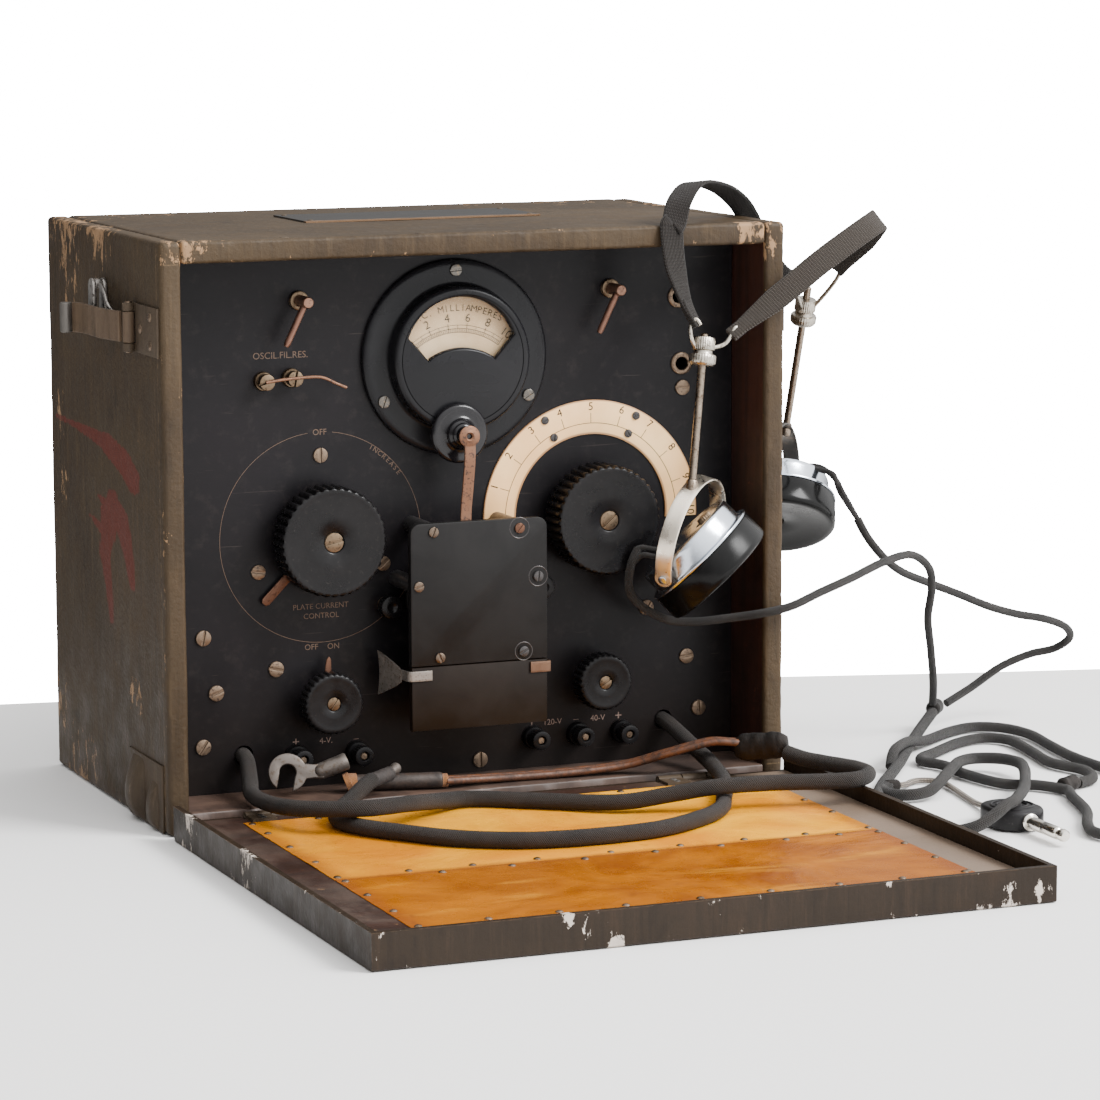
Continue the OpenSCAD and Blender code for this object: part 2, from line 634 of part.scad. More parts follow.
module copper_straps() {
    color([0.45, 0.28, 0.18]) at_front() {
        difference() {
            union() {
                disc_y(insul_p, 5.4, 8.4, 10);
                yz(insul_p[0] - 2.9, insul_p[0] + 2.9)
                    polygon([[8.4, 184], [10, 184], [13.8, 152], [13.8, 128], [12.2, 128], [12.2, 151.6]]);
            }
            disc_y(insul_p, 1.6, 7, 12);
        }
        xz(30.6, 31.6) polygon([[-101, 216], [-86.3, 217], [-74, 217], [-64, 212.6], [-63, 214], [-73.6, 218.8],
            [-86.3, 218.9], [-101, 217.6]]);
        translate([0, 0, 66.4]) linear_extrude(5.2) polygon([[-26, 7.2], [-36.4, 7.2], [-36.4, 12], [-38, 16],
            [-38.8, 16], [-37.2, 11.6], [-37.2, 6.4], [-26, 6.4]]);
        translate([0, 0, 58]) linear_extrude(20) polygon([[-38, 16], [-44, 30], [-44.8, 29.6], [-38.8, 16]]);
        translate([0, 0, 66.4]) linear_extrude(5.2) polygon([[28, 7.2], [28, 6.4], [39, 6.4], [39, 14], [38.2, 14],
            [38.2, 7.2]]);
    }
}

module lead_insulator() {
    color([0.1, 0.1, 0.11]) at_front() {
        disc_y(insul_p, 15, 21.6, 25.6);
        disc_y(insul_p, 7.6, 17, 21.6);
        disc_y(insul_p, 5.2, 25.6, 36);
        disc_y(insul_p, 4.6, 10, 17);
    }
}

module coil_card() {
    color([0.13, 0.13, 0.13]) at_front() difference() {
        union() {
            xz(8, 12) union() {
                translate([-35.6, 73.6]) square([73, 66.8]);
                translate([-30.6, 73.6]) square([63, 71.8]);
                translate([-30.6, 140.4]) circle(5);
                translate([32.4, 140.4]) circle(5);
            }
            slab(-35.4, 37.2, 8, 12, 41, 73.2);
            slab(-30, 32, 12, 15.8, 64, 84);
            difference() {
                disc_y([1, 108], 27, 16, 30);
                disc_y([1, 108], 20, 15, 31);
            }
            for (p = card_screw_p) disc_y(p, 4.2, 12, recess);
            slab(-30, 32, 29, 32, 100, 112);
        }
        for (p = card_screw_p) disc_y(p, 1.8, 7, recess + 1);
    }
}

module binding_posts() {
    color([0.14, 0.13, 0.13]) at_front() {
        for (p = post_p) difference() {
            union() {
                disc_y(p, 5, 27, 33.5);
                disc_y(p, 3.4, 33.5, 36);
                disc_y(p, 6, 36, recess);
                disc_y(p, 2.15, recess, 52);
            }
            disc_y(p, 2.2, 26, 31);
        }
        for (p = side_post_p) difference() {
            union() {
                disc_y(p, 6, 28, 34);
                disc_y(p, 4, 34, recess);
                disc_y(p, 2.15, recess, 52);
            }
            disc_y(p, 2.2, 27, 31);
        }
        for (p = stud_p) difference() {
            union() {
                disc_y(p, 4, 31.6, 34.6);
                disc_y(p, 2.15, 34.6, 50);
                disc_y(p, 4.8, 37.6, recess);
            }
            translate([p[0], 31.6, p[1]]) cube([12, 1, 0.9], center = true);
        }
    }
}

module jack_sockets() {
    color([0.12, 0.12, 0.12]) at_front() for (p = jack_p) difference() {
        union() {
            disc_y(p, 5.8, recess - 1.6, recess);
            disc_y(p, 4.6, recess, 72);
            disc_y(p, 7.4, panel_back, 50);
        }
        disc_y(p, jack_bore_r, recess - 3, 68);
    }
}

// ---------- inside ----------
tube_x = [-66, -8];
module tube_shelf() {
    color([0.3, 0.22, 0.16]) at_front() {
        slab(-118, 118, 114, case_d - board_t, 60, 66);
        for (x = tube_x) difference() {
            translate([x, 150, 66]) cylinder(h = 12, r = 22);
            translate([x, 150, 69]) cylinder(h = 12, r = 17.5);
        }
    }
}

module vacuum_tubes() {
    color([0.7, 0.72, 0.7]) at_front() for (x = tube_x) translate([x, 150, 69]) rotate_extrude()
        polygon([[0, 0], [17.4, 0], [17.4, 32], [14, 34], [19, 42], [22.5, 54], [22, 68], [17, 80], [9, 88], [3, 92],
            [2, 98], [0, 98]]);
}

module transformer() {
    color([0.3, 0.28, 0.26]) at_front() {
        difference() {
            slab(50, 104, 126, 176, 66, 118);
            slab(49, 105, 136, 166, 78, 106);
            slab(66, 88, 125, 177, 60, 130);
        }
        difference() {
            slab(57, 97, 137, 165, 79, 105);
            slab(66, 88, 136, 166, 60, 130);
        }
        slab(66, 88, 126, 176, 66, 118);
    }
}

// ---------- door ----------
module notches() {
    for (x = [-hinge_x, hinge_x]) slab(x - 21, x + 21, notch_y, 5, -1, door_t + 1);
}

module door_pan() {
    color([0.35, 0.31, 0.25]) at_front() difference() {
        yz(-half_w, half_w) polygon([[door_y0, 2], [door_y0, door_t], [door_y1, door_t], [door_y1, 0.8],
            [door_y1 + 0.8, 0], [door_y0 - 2, 0]]);
        slab(-half_w + door_rim, half_w - door_rim, door_y1 + door_rim, door_y0 - door_rim, 1.2, door_t + 1);
        slab(-half_w + door_rim, half_w - door_rim, door_y0 - door_rim - 1, door_y0 + 1, door_board_top, door_t + 1);
        notches();
    }
}

module door_board() {
    color([0.34, 0.22, 0.15]) at_front() difference() {
        slab(-half_w + door_rim, half_w - door_rim, door_y1 + door_rim, door_y0 - door_rim, 1.2, door_board_top);
        notches();
    }
}

module celluloid_sheets() {
    color([0.85, 0.6, 0.2]) at_front() {
        slab(-135, 140.5, -157, -24, door_board_top, door_board_top + 0.4);
        slab(-135, 140.5, -261, -157.4, door_board_top, door_board_top + 0.4);
    }
}

module hinge_door_leaves() {
    color([0.4, 0.36, 0.3]) at_front() for (x = [-hinge_x, hinge_x]) translate([x, 0, 0]) for (s = [-1, 1])
        difference() {
            union() {
                slab(s > 0 ? 7 : -19.5, s > 0 ? 19.5 : -7, -22, hinge_y, door_board_top, door_board_top + 1.4);
                yz(s > 0 ? 7 : -19.5, s > 0 ? 19.5 : -7) translate([hinge_y, hinge_z]) circle(2.9);
            }
            yz(-21, 21) translate([hinge_y, hinge_z]) circle(1.5);
        }
}

module latch_strap() {
    translate([latch_x, latch_y, 238.6]) {
        difference() {
            union() {
                cylinder(h = 15.1, r = 3);
                linear_extrude(15.1) polygon([[-1.2, 2.4], [2.6, 1], [5, 9], [7.2, 20], [8.2, 32], [8.2, 46], [8.8, 54],
                    [11.5, 60], [15.4, 62.4], [14.8, 63.9], [10.4, 61.4], [7.4, 54.6], [6.7, 46], [6.7, 32], [5.7, 20.4],
                    [3.5, 9.6], [1.6, 4]]);
            }
            translate([0, 0, -1]) cylinder(h = 18, r = 1.35 + fit);
            translate([0, 34, 5]) cube([20, 12, 5]);
        }
    }
}

module latch_strap_left() {
    color([0.42, 0.34, 0.28]) at_front() mirror([1, 0, 0]) latch_strap();
}

module latch_strap_right() {
    color([0.42, 0.34, 0.28]) at_front() latch_strap();
}

// ---------- battery leads ----------
module battery_cable_left() {
    color([0.2, 0.19, 0.19]) at_front() tube(left_cable_pts, cable_r, 10, 2);
}

module battery_cable_right() {
    color([0.2, 0.19, 0.19]) at_front() tube(right_cable_pts, cable_r, 10, 2);
}

module rubber_wires() {
    color([0.55, 0.33, 0.18]) at_front() {
        tube(wire_pts, wire_r, 8, 3);
        translate(wire_step) tube(wire_pts, wire_r, 8, 3);
        translate([141, -25, 26]) rotate([0, 84, -32]) translate([0, 0, -11]) cylinder(h = 22, r = 6.4);
    }
}

module lead_lugs() {
    color([0.6, 0.58, 0.54]) at_front() {
        translate([-97.2, 21, 22.6]) rotate([68, 0, -10]) {
            linear_extrude(2.4) difference() {
                union() {
                    circle(9.6);
                    translate([6, -3.6]) square([12, 7]);
                }
                circle(4.1);
                rotate(-104) translate([0, -4]) square([14, 8]);
            }
        }
        translate([-82.5, 18.4, 22.2]) rotate([90, 0, 82]) rotate([-19, 0, 0]) cylinder(h = 16, r = 4.2);
        translate([-62, 18.2, 15.6]) rotate([90, 0, 76]) cylinder(h = 42.5, r = 4);
        translate([-62, -7, 21.5]) rotate([90, 0, 132.7]) cylinder(h = 18, r = 3.6);
    }
}

module cord_joints() {
    color([0.17, 0.16, 0.16]) at_front() {
        translate([304, 99, 12.6]) rotate([90, 0, 140]) translate([0, 0, -6]) cylinder(h = 12, r = 5);
        translate([290, -76, 4]) rotate([90, 0, 120]) translate([0, 0, -7]) cylinder(h = 14, r = 4);
        translate([206.5, -41.4, 3.2]) rotate([90, 0, 100]) translate([0, 0, -4]) cylinder(h = 8, r = 3.2);
    }
}

// ---------- headset ----------
module head_bands() {
    color([0.3, 0.29, 0.27]) at_front() {
        strap(band1_pts, band1_side, band_w, 2, 3);
        strap(band2_pts, band2_side, band_w, 2, 3);
    }
}

module swivel(apex, ang) {
    translate(apex) rotate(ang) translate([0, 0, swivel_at]) difference() {
        union() {
            translate([0, 0, -4]) cylinder(h = 4.4, r = 7);
            cylinder(h = 5, r = 4);
            translate([0, 0, 4.6]) cylinder(h = 2, r = 4.8);
        }
        translate([0, 0, -6]) cylinder(h = 20, r = 2 + fit);
    }
}

module band_swivels() {
    color([0.72, 0.68, 0.6]) at_front() {
        swivel(apex1, rod1_a);
        swivel(apex2, rod2_a);
        for (h = [hook1_pts, hook2_pts, hook3_pts, hook4_pts]) tube(h, 1.1, 8, 2);
    }
}

module yoke(c, ang, apex, rod_ang, rod_l) {
    translate(c) rotate(ang) difference() {
        union() {
            rotate([90, 0, 0]) linear_extrude(9, center = true) difference() {
                union() {
                    translate([0, yoke_h - yoke_r]) circle(yoke_r + 1.2);
                    translate([-yoke_r - 1.2, 0]) square([2 * yoke_r + 2.4, yoke_h - yoke_r]);
                }
                translate([0, yoke_h - yoke_r]) circle(yoke_r);
                translate([-yoke_r, -60]) square([2 * yoke_r, yoke_h - yoke_r + 60]);
                translate([-50, -60]) square([100, 60]);
            }
            for (x = [-yoke_r - 1.2, yoke_r]) translate([x, 0, 0]) rotate([0, 90, 0]) cylinder(h = 1.2, r = 4.6);
        }
        rotate([0, 90, 0]) cylinder(h = 80, r = 1.3 + fit, center = true);
    }
    translate(apex) rotate(rod_ang) {
        cylinder(h = rod_l, r = 2);
        translate([0, 0, rod_l]) sphere(2.6);
        translate([0, 0, -1.5]) cylinder(h = 6, r = 3);
    }
}

module yoke_1() {
    color([0.75, 0.73, 0.68]) at_front() yoke(ear1_c, ear1_yoke_a, apex1, rod1_a, rod1_l);
}

module yoke_2() {
    color([0.75, 0.73, 0.68]) at_front() yoke(ear2_c, ear2_yoke_a, apex2, rod2_a, rod2_l);
}

module earpiece(c, ang, side) {
    translate(c) rotate(ang) {
        difference() {
            union() {
                translate([0, 0, -4.5]) cylinder(h = 10, r = ear_cup_r);
                translate([0, 0, 5.5]) cylinder(h = 1.6, r = ear_cap_r + 0.2);
                rotate([0, 90, 0]) cylinder(h = 2 * yoke_r + 4, r = 1.3, center = true);
            }
            translate([0, 0, -3.2]) cylinder(h = 12, r = ear_cup_r - 1.4);
        }
        translate([0, 0, 7.1]) rotate_extrude() polygon([[4, 6], [4, 11.6], [24, 13.4], [29.4, 15], [31.2, 13.6],
            [31.5, 3], [31.5, 0], [0, 0], [0, 6]]);
        translate([0, 0, 1]) cylinder(h = 6.1, r = 20);
        translate([0, side * 20, -8]) cylinder(h = 3.6, r = 4);
    }
}

module earpiece_1() {
    color([0.7, 0.72, 0.75]) at_front() earpiece(ear1_c, ear1_cup_a, -1);
}

module earpiece_2() {
    color([0.7, 0.72, 0.75]) at_front() earpiece(ear2_c, ear2_cup_a, 1);
}

module branch_cord_1() {
    color([0.25, 0.24, 0.23]) at_front() tube(branch1_pts, branch_r, 8, 2);
}

module branch_cord_2() {
    color([0.25, 0.24, 0.23]) at_front() tube(branch2_pts, branch_r, 8, 2);
}

module trunk_cord() {
    color([0.25, 0.24, 0.23]) at_front() {
        tube(trunk_pts, trunk_r, 8, 2);
        tube(tail_pts, tail_r, 8, 2);
    }
}

module loop_cord() {
    color([0.25, 0.24, 0.23]) at_front() tube(loop_pts, loop_r, 8, 1);
}

module phone_plug() {
    color([0.1, 0.1, 0.11]) at_front() translate(plug_c) {
        translate([0, 0, -5.1]) linear_extrude(10) union() {
            translate([0, 4.5]) circle(13.4);
            translate([0, -4.5]) circle(13.4);
            translate([-13.4, -4.5]) square([26.8, 9]);
        }
        translate([0, 0, 4.9]) linear_extrude(0.8) difference() {
            circle(9);
            circle(7);
        }
        rotate([90, 0, 0]) {
            translate([0, 0, 14]) cylinder(h = 6.2, r = 4.3);
            translate([0, 0, 15]) cylinder(h = 32, r = plug_r);
            translate([0, 0, 47]) cylinder(h = 3, r = 2.1);
            translate([0, 0, 51.5]) sphere(plug_r);
        }
        translate([0, 17.6, 0]) rotate([-90, 0, 0]) cylinder(h = 3, r = 3.4);
    }
}

side_board_left();
side_board_right();
top_board();
bottom_board();
back_board();
top_plate();
corner_shoes();
latch_leaves();
strap_loops();
case_hinges();
panel();
panel_rails();
panel_screws();
meter_case();
meter_card();
meter_glass();
meter_movement();
meter_needle();
dial_scale();
dial_knob();
condenser_stator();
condenser_rotor();
rheostat_knob();
rheostat_body();
switch_knob();
switch_bodies();
fine_knob();
lever_left();
lever_right();
lever_bushings();
copper_straps();
lead_insulator();
coil_card();
binding_posts();
jack_sockets();
tube_shelf();
vacuum_tubes();
transformer();
door_pan();
door_board();
celluloid_sheets();
hinge_door_leaves();
latch_strap_left();
latch_strap_right();
battery_cable_left();
battery_cable_right();
rubber_wires();
lead_lugs();
cord_joints();
head_bands();
band_swivels();
yoke_1();
yoke_2();
earpiece_1();
earpiece_2();
branch_cord_1();
branch_cord_2();
trunk_cord();
loop_cord();
phone_plug();
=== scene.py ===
import json
import math

import bmesh
import bpy
import numpy as np
from mathutils import Euler, Matrix, Vector, noise

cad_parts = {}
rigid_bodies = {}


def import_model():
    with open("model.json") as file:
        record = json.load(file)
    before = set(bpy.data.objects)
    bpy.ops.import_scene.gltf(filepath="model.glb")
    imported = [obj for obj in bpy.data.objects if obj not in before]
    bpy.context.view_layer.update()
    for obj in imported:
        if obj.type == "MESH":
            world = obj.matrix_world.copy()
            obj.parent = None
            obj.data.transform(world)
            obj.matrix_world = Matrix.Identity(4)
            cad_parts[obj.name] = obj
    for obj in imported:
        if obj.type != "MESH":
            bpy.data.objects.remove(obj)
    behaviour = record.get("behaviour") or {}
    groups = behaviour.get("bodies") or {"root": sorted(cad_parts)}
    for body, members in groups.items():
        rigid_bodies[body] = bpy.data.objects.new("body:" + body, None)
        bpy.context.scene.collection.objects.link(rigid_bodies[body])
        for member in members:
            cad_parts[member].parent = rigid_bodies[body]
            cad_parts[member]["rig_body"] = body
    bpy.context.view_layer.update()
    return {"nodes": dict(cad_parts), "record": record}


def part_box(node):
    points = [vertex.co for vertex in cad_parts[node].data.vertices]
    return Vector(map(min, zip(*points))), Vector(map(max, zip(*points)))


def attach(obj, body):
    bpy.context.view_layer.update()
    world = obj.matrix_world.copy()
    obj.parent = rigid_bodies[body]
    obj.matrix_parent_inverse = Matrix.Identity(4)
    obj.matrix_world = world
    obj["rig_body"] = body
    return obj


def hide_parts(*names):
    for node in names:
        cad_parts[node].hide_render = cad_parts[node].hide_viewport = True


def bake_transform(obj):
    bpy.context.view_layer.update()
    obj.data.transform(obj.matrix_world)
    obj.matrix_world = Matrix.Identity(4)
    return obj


for start_object in [bpy.data.objects.get(n) for n in ("Cube", "Light", "Camera")]:
    if start_object:
        bpy.data.objects.remove(start_object)
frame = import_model()

# ---------------------------------------------------------------- the frame's own places
MM = 0.001
side_lo, side_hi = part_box("side_board_left")
right_lo, right_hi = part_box("side_board_right")
FRONT = side_lo.y
HALF = right_hi.x / MM
CASE_H = side_hi.z / MM
CASE_D = (side_hi.y - side_lo.y) / MM
BOARD = (right_hi.x - right_lo.x) / MM
PANEL_Y = (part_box("panel")[0].y - FRONT) / MM
JOINT = {j["name"]: j for j in frame["record"]["behaviour"]["joints"]}


def at(x, y, z):
    """A point given in millimetres from the bottom centre of the case's front plane."""
    return Vector((x * MM, FRONT + y * MM, z * MM))


def local(p):
    """A row-frame point, in millimetres from the bottom centre of the front plane."""
    return (p[0] / MM, (p[1] - FRONT) / MM, p[2] / MM)


def joint_xz(name):
    x, _, z = local(JOINT[name]["pos_m"])
    return x, z


# ---------------------------------------------------------------- camera
CAM_AT = Vector((-0.758, FRONT - 1.9459, 0.4437))
YAW, PITCH, ROLL = math.radians(22.19), math.radians(8.5), math.radians(-0.23)


def make_camera():
    forward = Vector((math.sin(YAW) * math.cos(PITCH), math.cos(YAW) * math.cos(PITCH), -math.sin(PITCH)))
    side = Vector((math.cos(YAW), -math.sin(YAW), 0))
    up = side.cross(forward)
    right = side * math.cos(ROLL) + up * math.sin(ROLL)
    top = up * math.cos(ROLL) - side * math.sin(ROLL)
    data = bpy.data.cameras.new("camera")
    data.sensor_width = 36
    data.lens = 139.02
    data.clip_end = 30
    cam = bpy.data.objects.new("camera", data)
    bpy.context.scene.collection.objects.link(cam)
    m = Matrix.Identity(4)
    for row in range(3):
        m[row][0], m[row][1], m[row][2], m[row][3] = right[row], top[row], -forward[row], CAM_AT[row]
    cam.matrix_world = m
    bpy.context.scene.camera = cam


make_camera()


# ---------------------------------------------------------------- procedural materials
class Look:
    """A node material built up call by call. Coordinates are the row frame's, in metres."""

    def __init__(self, name, **sockets):
        self.mat = bpy.data.materials.new(name)
        self.mat.use_nodes = True
        self.tree = self.mat.node_tree
        self.shader = self.tree.nodes["Principled BSDF"]
        self.set(**sockets)

    def node(self, kind, **props):
        n = self.tree.nodes.new(kind)
        for k, v in props.items():
            setattr(n, k, v)
        return n

    def put(self, socket, value):
        if value is None:
            return
        if isinstance(value, bpy.types.NodeSocket):
            self.tree.links.new(value, socket)
        elif socket.type == "RGBA":
            socket.default_value = (*value[:3], 1)
        else:
            socket.default_value = value

    def set(self, **sockets):
        for k, v in sockets.items():
            self.put(self.shader.inputs[k.replace("_", " ").title().replace("Ior", "IOR")], v)
        return self

    def coords(self, scale=(1, 1, 1), turn=(0, 0, 0), kind="Object"):
        c = self.node("ShaderNodeTexCoord").outputs[kind]
        m = self.node("ShaderNodeMapping")
        self.put(m.inputs["Vector"], c)
        m.inputs["Scale"].default_value = scale
        m.inputs["Rotation"].default_value = [math.radians(a) for a in turn]
        return m.outputs["Vector"]

    def noise(self, scale, detail=4, rough=0.55, warp=0.0, at=None):
        n = self.node("ShaderNodeTexNoise")
        self.put(n.inputs["Vector"], at or self.coords())
        n.inputs["Scale"].default_value = scale
        n.inputs["Detail"].default_value = detail
        n.inputs["Roughness"].default_value = rough
        n.inputs["Distortion"].default_value = warp
        return n.outputs["Fac"]

    def cells(self, scale, feature="F1", at=None, out="Distance", random=1.0):
        n = self.node("ShaderNodeTexVoronoi", feature=feature)
        self.put(n.inputs["Vector"], at or self.coords())
        n.inputs["Scale"].default_value = scale
        n.inputs["Randomness"].default_value = random
        return n.outputs[out]

    def wave(self, scale, warp=0.0, at=None, axis="X", profile="SIN", detail=2, kind="BANDS"):
        n = self.node("ShaderNodeTexWave", wave_type=kind, wave_profile=profile)
        if kind == "BANDS":
            n.bands_direction = axis
        self.put(n.inputs["Vector"], at or self.coords())
        n.inputs["Scale"].default_value = scale
        n.inputs["Distortion"].default_value = warp
        n.inputs["Detail"].default_value = detail
        return n.outputs["Fac"]

    def calc(self, op, a, b=None, c=None, clamp=False):
        n = self.node("ShaderNodeMath", operation=op, use_clamp=clamp)
        for i, v in enumerate((a, b, c)):
            self.put(n.inputs[i], v)
        return n.outputs[0]

    def step(self, fac, low, high, out_low=0.0, out_high=1.0):
        n = self.node("ShaderNodeMapRange", interpolation_type="SMOOTHSTEP")
        self.put(n.inputs["Value"], fac)
        for k, v in (("From Min", low), ("From Max", high), ("To Min", out_low), ("To Max", out_high)):
            n.inputs[k].default_value = v
        return n.outputs["Result"]

    def mix(self, fac, a, b, blend="MIX"):
        n = self.node("ShaderNodeMix", data_type="RGBA", blend_type=blend)
        self.put(n.inputs[0], fac)
        self.put(n.inputs[6], a)
        self.put(n.inputs[7], b)
        return n.outputs[2]

    def bump(self, *layers):
        """Each layer is (height, strength, distance in metres), the coarsest first."""
        normal = None
        for height, strength, distance in layers:
            n = self.node("ShaderNodeBump")
            n.inputs["Strength"].default_value = strength
            n.inputs["Distance"].default_value = distance
            self.put(n.inputs["Height"], height)
            self.put(n.inputs["Normal"], normal)
            normal = n.outputs["Normal"]
        self.put(self.shader.inputs["Normal"], normal)
        return self

    def xyz(self, at=None):
        n = self.node("ShaderNodeSeparateXYZ")
        self.put(n.inputs[0], at or self.node("ShaderNodeTexCoord").outputs["Object"])
        return n.outputs

    def near(self, value, centre, reach):
        """How far a coordinate is from centre, in units of reach."""
        return self.calc("DIVIDE", self.calc("ABSOLUTE", self.calc("SUBTRACT", value, centre)), reach)


def srgb(r, g, b):
    """A colour given as 0..255 display values, as linear light."""
    def lin(v):
        v /= 255
        return v / 12.92 if v <= 0.04045 else ((v + 0.055) / 1.055) ** 2.4
    return (lin(r), lin(g), lin(b))


def edge_wear(k, boxes, width):
    """0 in the middle of a face, 1 on the arris, for boxes given as (low, high) in the row frame."""
    x, y, z = k.xyz()
    worn = None
    for lo, hi in boxes:
        ds = []
        for c, axis in ((x, 0), (y, 1), (z, 2)):
            a = k.calc("ABSOLUTE", k.calc("SUBTRACT", c, lo[axis]))
            b = k.calc("ABSOLUTE", k.calc("SUBTRACT", c, hi[axis]))
            ds.append(k.calc("MINIMUM", a, b))
        pairs = [k.calc("MAXIMUM", ds[i], ds[j]) for i, j in ((0, 1), (1, 2), (0, 2))]
        m = k.calc("MINIMUM", pairs[0], k.calc("MINIMUM", pairs[1], pairs[2]))
        worn = m if worn is None else k.calc("MINIMUM", worn, m)
    return k.step(worn, 0.0, width, 1.0, 0.0)


CASE_LO = Vector((-HALF * MM, FRONT, 0))
CASE_HI = Vector((HALF * MM, FRONT + CASE_D * MM, CASE_H * MM))


def painted(name, base, light, wood, boxes, wear_width, chip=0.5, rough=0.5, grit=1.0, smear=(), patches=()):
    """Old olive paint: brushed tone, upright scratches, chips to wood or metal along the edges and in patches."""
    k = Look(name)
    fine = k.noise(55, 6, 0.6)
    broad = k.noise(9, 3, 0.5, 0.6)
    tone = k.mix(k.step(broad, 0.3, 0.72), base, light)
    tone = k.mix(k.step(fine, 0.45, 0.75, 0, 0.3), tone, [v * 1.5 for v in light])
    streak = k.noise(260, 5, 0.7, 0.2, k.coords((1, 1, 0.07)))
    tone = k.mix(k.step(streak, 0.52, 0.68, 0, 0.35), tone, [v * 1.8 for v in light])
    tone = k.mix(k.step(streak, 0.48, 0.34, 0, 0.3), tone, [v * 0.45 for v in base])
    dark = k.noise(38, 4, 0.6, 0.8, k.coords((1, 1, 0.6)))
    tone = k.mix(k.step(dark, 0.6, 0.74, 0, 0.55), tone, [v * 0.45 for v in base])
    arris = edge_wear(k, boxes, 0.0013)
    near = edge_wear(k, boxes, wear_width)
    rag = k.noise(160, 6, 0.75, 0.3)
    pale = k.step(k.calc("ADD", k.calc("MULTIPLY", arris, 0.6), k.calc("MULTIPLY", rag, 0.8)), 0.90, 1.02)
    tone = k.mix(k.calc("MULTIPLY", pale, 0.7), tone, [v * 2.6 for v in light])
    extra = None
    for x, y, z, r in patches:
        n = k.node("ShaderNodeVectorMath", operation="DISTANCE")
        k.put(n.inputs[0], k.node("ShaderNodeTexCoord").outputs["Object"])
        n.inputs[1].default_value = at(x, y, z)
        f = k.step(n.outputs["Value"], r * 0.2 * MM, r * MM, 1, 0)
        extra = f if extra is None else k.calc("MAXIMUM", extra, f)
    spots = k.noise(130, 7, 0.74, 0.2, k.coords((1, 1, 0.45)))
    level = k.calc("ADD", spots, k.calc("MULTIPLY", near, 0.05 + 0.05 * chip))
    if extra is not None:
        level = k.calc("ADD", level, k.calc("MULTIPLY", extra, 0.15))
    bare = k.step(level, 0.705, 0.72)
    bare_tone = k.mix(k.noise(90, 4), wood, [min(1, v * 1.6) for v in wood])
    colour = k.mix(bare, tone, bare_tone)
    if smear:
        x, y, z = k.xyz()
        left = k.step(x, CASE_LO.x + 0.0005, CASE_LO.x + 0.003, 1, 0)
        squeeze = 0.3
        ys = k.calc("MULTIPLY", y, squeeze)
        strokes = None
        for line in smear:
            for (y0, z0, r0), (y1, z1, r1) in zip(line, line[1:]):
                a0, b0 = (FRONT + y0 * MM) * squeeze, z0 * MM
                da, db = (y1 - y0) * MM * squeeze, (z1 - z0) * MM
                pa, pb = k.calc("SUBTRACT", ys, a0), k.calc("SUBTRACT", z, b0)
                t = k.calc("DIVIDE", k.calc("ADD", k.calc("MULTIPLY", pa, da), k.calc("MULTIPLY", pb, db)),
                           da * da + db * db, clamp=True)
                ea = k.calc("SUBTRACT", pa, k.calc("MULTIPLY", t, da))
                eb = k.calc("SUBTRACT", pb, k.calc("MULTIPLY", t, db))
                d = k.calc("SQRT", k.calc("ADD", k.calc("MULTIPLY", ea, ea), k.calc("MULTIPLY", eb, eb)))
                reach = k.calc("MULTIPLY_ADD", t, (r1 - r0) * MM, r0 * MM)
                d = k.calc("SUBTRACT", d, reach)
                strokes = d if strokes is None else k.calc("MINIMUM", strokes, d)
        ragged = k.calc("ADD", strokes, k.calc("MULTIPLY", k.calc("SUBTRACT", streak, 0.5), 0.004))
        mask = k.calc("MULTIPLY", k.step(ragged, 0.0001, 0.0007, 0.85, 0), left)
        colour = k.mix(mask, colour, k.mix(streak, srgb(92, 38, 28), srgb(68, 28, 20)))
        # A pale ragged line 6.8 mm behind the front edge of the left side: a painted highlight of the rounded front
        # edge, together with worn paint along it.
        edge_highlight_and_wear = k.step(k.near(y, FRONT + 0.0068, 0.0007), 0.5, 1.0, 1, 0)
        colour = k.mix(k.calc("MULTIPLY", k.calc("MULTIPLY", edge_highlight_and_wear, left), k.step(rag, 0.45, 0.6)), colour,
                       [v * 2.4 for v in light])
    pebble = k.noise(420, 3, 0.5)
    k.set(base_color=colour, roughness=k.step(fine, 0.2, 0.8, rough - 0.04, rough + 0.2), specular_ior_level=0.2)
    k.bump((broad, 0.25, 0.003), (streak, 0.3, 0.0005), (pebble, 0.5 * grit, 0.0007), (bare, 0.4, -0.0005))
    return k.mat


OLIVE = srgb(46, 35, 22)
OLIVE_LIGHT = srgb(58, 46, 31)
TAN = srgb(118, 92, 66)
case_boxes = [(CASE_LO, CASE_HI), (CASE_LO + Vector((BOARD * MM, 0, BOARD * MM)),
                                   CASE_HI - Vector((BOARD * MM, 0, BOARD * MM)))]
SMEARS = [[(186, 186.8, 0.8), (159, 186, 1.2), (124, 184.6, 2.5), (97, 183, 4.5), (73, 177.8, 5.5),
           (56, 171.8, 4.5), (51, 165.4, 2.5)],
          [(87, 158, 2), (92.5, 147.8, 4.5), (97, 136.5, 3.5), (104, 125.5, 2.5), (100, 115, 1.8), (95, 103.6, 1.2),
           (93, 92.6, 0.5)],
          [(87, 155, 2.5), (75, 149, 4), (67, 138, 3), (60, 127, 2.2), (56, 115, 0.8)],
          [(127, 142, 0.6), (106, 137.5, 2.5)], [(111, 154, 0.6), (100, 151.8, 2)]]
CASE_CHIPS = [(-165, 165, 280, 55), (-165, 110, 286, 40), (-165, 176, 190, 26), (-165, 174, 150, 22),
              (-165, 54, 62, 20),
              (-165, 150, 6, 42), (-165, 190, 40, 30), (-150, 6, 290, 22), (150, 3, 288, 26), (120, 190, 290, 40),
              (-120, 190, 290, 40), (165, 150, 285, 45), (165, 180, 30, 45), (60, 200, 280, 50)]
